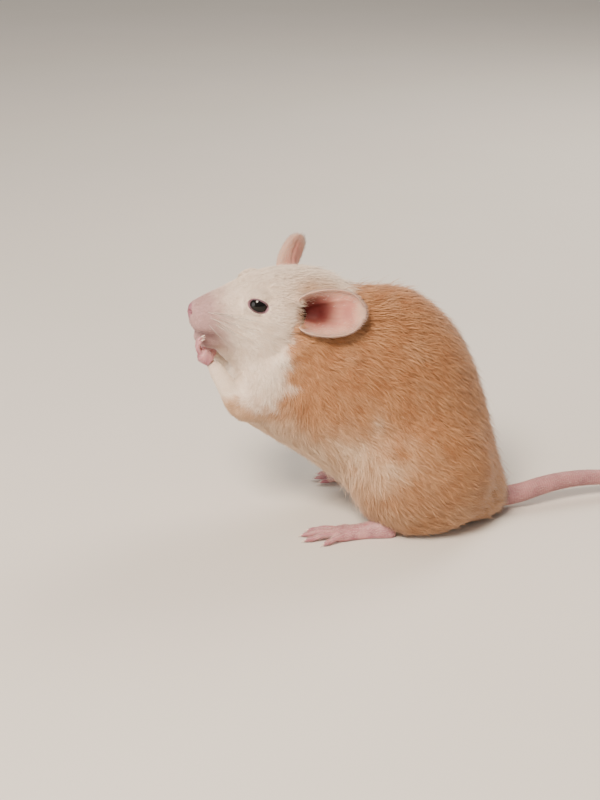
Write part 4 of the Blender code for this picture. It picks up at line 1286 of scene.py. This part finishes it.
def make_tail(skin_material, hair_material):
    """Tail, a tube along its path, with sparse short hairs that lie back along it."""
    centres, radii, places = tail_path(TAIL_STEPS)
    points, triangles = tubes(centres[None], radii[None], TAIL_SIDES)
    points = world(above_floor(points, BARE_OFF_FLOOR))
    obj = new_object("tail_skin", points, triangles, skin_material)
    outward(obj)
    along = np.concatenate([np.repeat(places, TAIL_SIDES), [0, TAIL_LENGTH]]) / TAIL_RING
    turn = np.concatenate([np.tile(np.arange(TAIL_SIDES) / TAIL_SIDES, TAIL_STEPS), [0, 0]])
    corner_uv(obj, "UVMap", np.column_stack([along, turn]))
    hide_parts("tail_1", "tail_2", "tail_3", "tail_4")

    def lie(near):
        nearest = np.abs(near[:, None, 0] - centres[None, ::4, 0]).argmin(axis=1)
        return unit(np.gradient(centres[::4], axis=0))[nearest]

    hairs = TAIL_HAIRS, lambda near: near[:, 0] > TAIL_HAIRS_FROM, lie, (0.65, 0.055, 0.25), (0.3, 0.5, 0.6)
    short_hairs("tail_hair", obj, *hairs, SEED + 17, hair_material, "coat")


# Whiskers

def make_whiskers(material):
    """Stiff hairs in rows on the muzzle's sides, each a tube along root + length * (way t + bend t t)."""
    draw = np.random.default_rng(SEED + 50)
    row, column, sign = [
        values.ravel()
        for values in np.meshgrid(range(WHISKER_ROWS), range(WHISKER_COLUMNS), [-1.0, 1.0], indexing="ij")
    ]
    count = len(row)
    root = np.column_stack([3.2 + 0.75 * column, sign * (2.7 + 0.22 * column), 0.9 - 0.8 * row])
    length = ((8.0 + 2.2 * column) * draw.uniform(0.85, 1.15, count))[:, None, None]
    lean = draw.normal(0, 0.08, (2, count))
    way = unit(np.column_stack([0.6 + 0.12 * column + lean[0], sign, 0.35 - 0.35 * row + lean[1]]))
    bend = np.column_stack([np.full(count, 0.34), -0.14 * sign, draw.normal(-0.10, 0.05, count)])
    steps = np.linspace(0, 1, WHISKER_STEPS)[:, None]
    paths = root[:, None] + length * (way[:, None] * steps + bend[:, None] * steps**2)
    radii = np.tile(WHISKER_RADIUS * (1 - 0.85 * steps[:, 0]), (count, 1))
    points, triangles = tubes(from_head(paths), radii, WHISKER_SIDES)
    outward(new_object("whiskers", world(points), triangles, material))


# Floor, light and camera

def make_floor():
    corners = FLOOR_HALF * np.array([(-1, -1, 0), (1, -1, 0), (1, 1, 0), (-1, 1, 0)])
    mesh = bpy.data.meshes.new("floor")
    mesh.from_pydata(corners.tolist(), [], [(0, 1, 2, 3)])
    mesh.materials.append(matt_floor())
    floor = placed("floor", mesh)


def aim(obj, target):
    """Points a lamp's or camera's -Z at a target."""
    obj.rotation_euler = (Vector(target) - obj.location).to_track_quat("-Z", "Y").to_euler()


def make_lamp(name, place, target, size, power, colour):
    lamp = bpy.data.lights.new(name, "AREA")
    lamp.shape = "DISK"
    lamp.size = size
    lamp.energy = power
    lamp.color = linear(colour)[:3]
    obj = placed(name, lamp)
    obj.location = Vector(place)
    aim(obj, target)


def make_light():
    """A warm key lamp from above and the viewer's left, a broad fill, a lamp behind, and a pale sky."""
    centre = world((-5, 0, 28))
    make_lamp("key", centre + np.array([-0.16, -0.34, 0.44]), centre, 0.20, 5.6, "FFEBD6")
    make_lamp("fill", centre + np.array([-0.50, -0.30, 0.14]), centre, 0.40, 1.5, "F8F2F0")
    make_lamp("rim", centre + np.array([0.30, 0.35, 0.34]), centre, 0.30, 2.2, "FFF4E6")
    sky = bpy.data.worlds.new("studio")
    sky.use_nodes = True
    shader = sky.node_tree.nodes["Background"]
    shader.inputs["Color"].default_value = linear("EAE3DC")
    shader.inputs["Strength"].default_value = 0.55
    bpy.context.scene.world = sky


def make_camera():
    camera = bpy.data.cameras.new("camera")
    camera.lens = CAMERA_LENS
    camera.sensor_width = 36
    camera.clip_start = 0.01
    obj = placed("camera", camera)
    tilt = math.radians(CAMERA_ELEVATION)
    target = Vector(world(CAMERA_TARGET))
    obj.location = target + Vector((0, -math.cos(tilt), math.sin(tilt))) * CAMERA_DISTANCE * MM
    aim(obj, target)
    bpy.context.scene.camera = obj


fur, hidden_fur = short_fur(), underfur()
ear_sheet, eye_ball = ear_skin(), wet_eye()
paw_skin = bare_skin("paw_skin", "C79396", "A06873", 0.5)
lid_skin = bare_skin("lid_skin", "6E5560", "4A363C", 0.3)

skin = make_skin()
finish(skin, hidden_fur)
skin_places = places_of(skin)
point_colour(skin, "marks", markings(skin_places))
point_colour(skin, "tints", tints(skin_places))
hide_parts(*FLESH)
root_places = make_coat(skin, fur)
for side in ("left", "right"):
    make_ear(side, ear_sheet, fur)
    make_ear_fringe(side, skin, root_places, fur)
    make_eye(side, eye_ball, lid_skin)
    for part, settings in BARE_PARTS.items():
        make_bare_part(f"{part}_{side}", paw_skin, fur, *settings)
make_claws(claw_horn())
make_tail(scaly_tail(), fur)
make_whiskers(whisker_hair())
make_floor()
make_light()
make_camera()
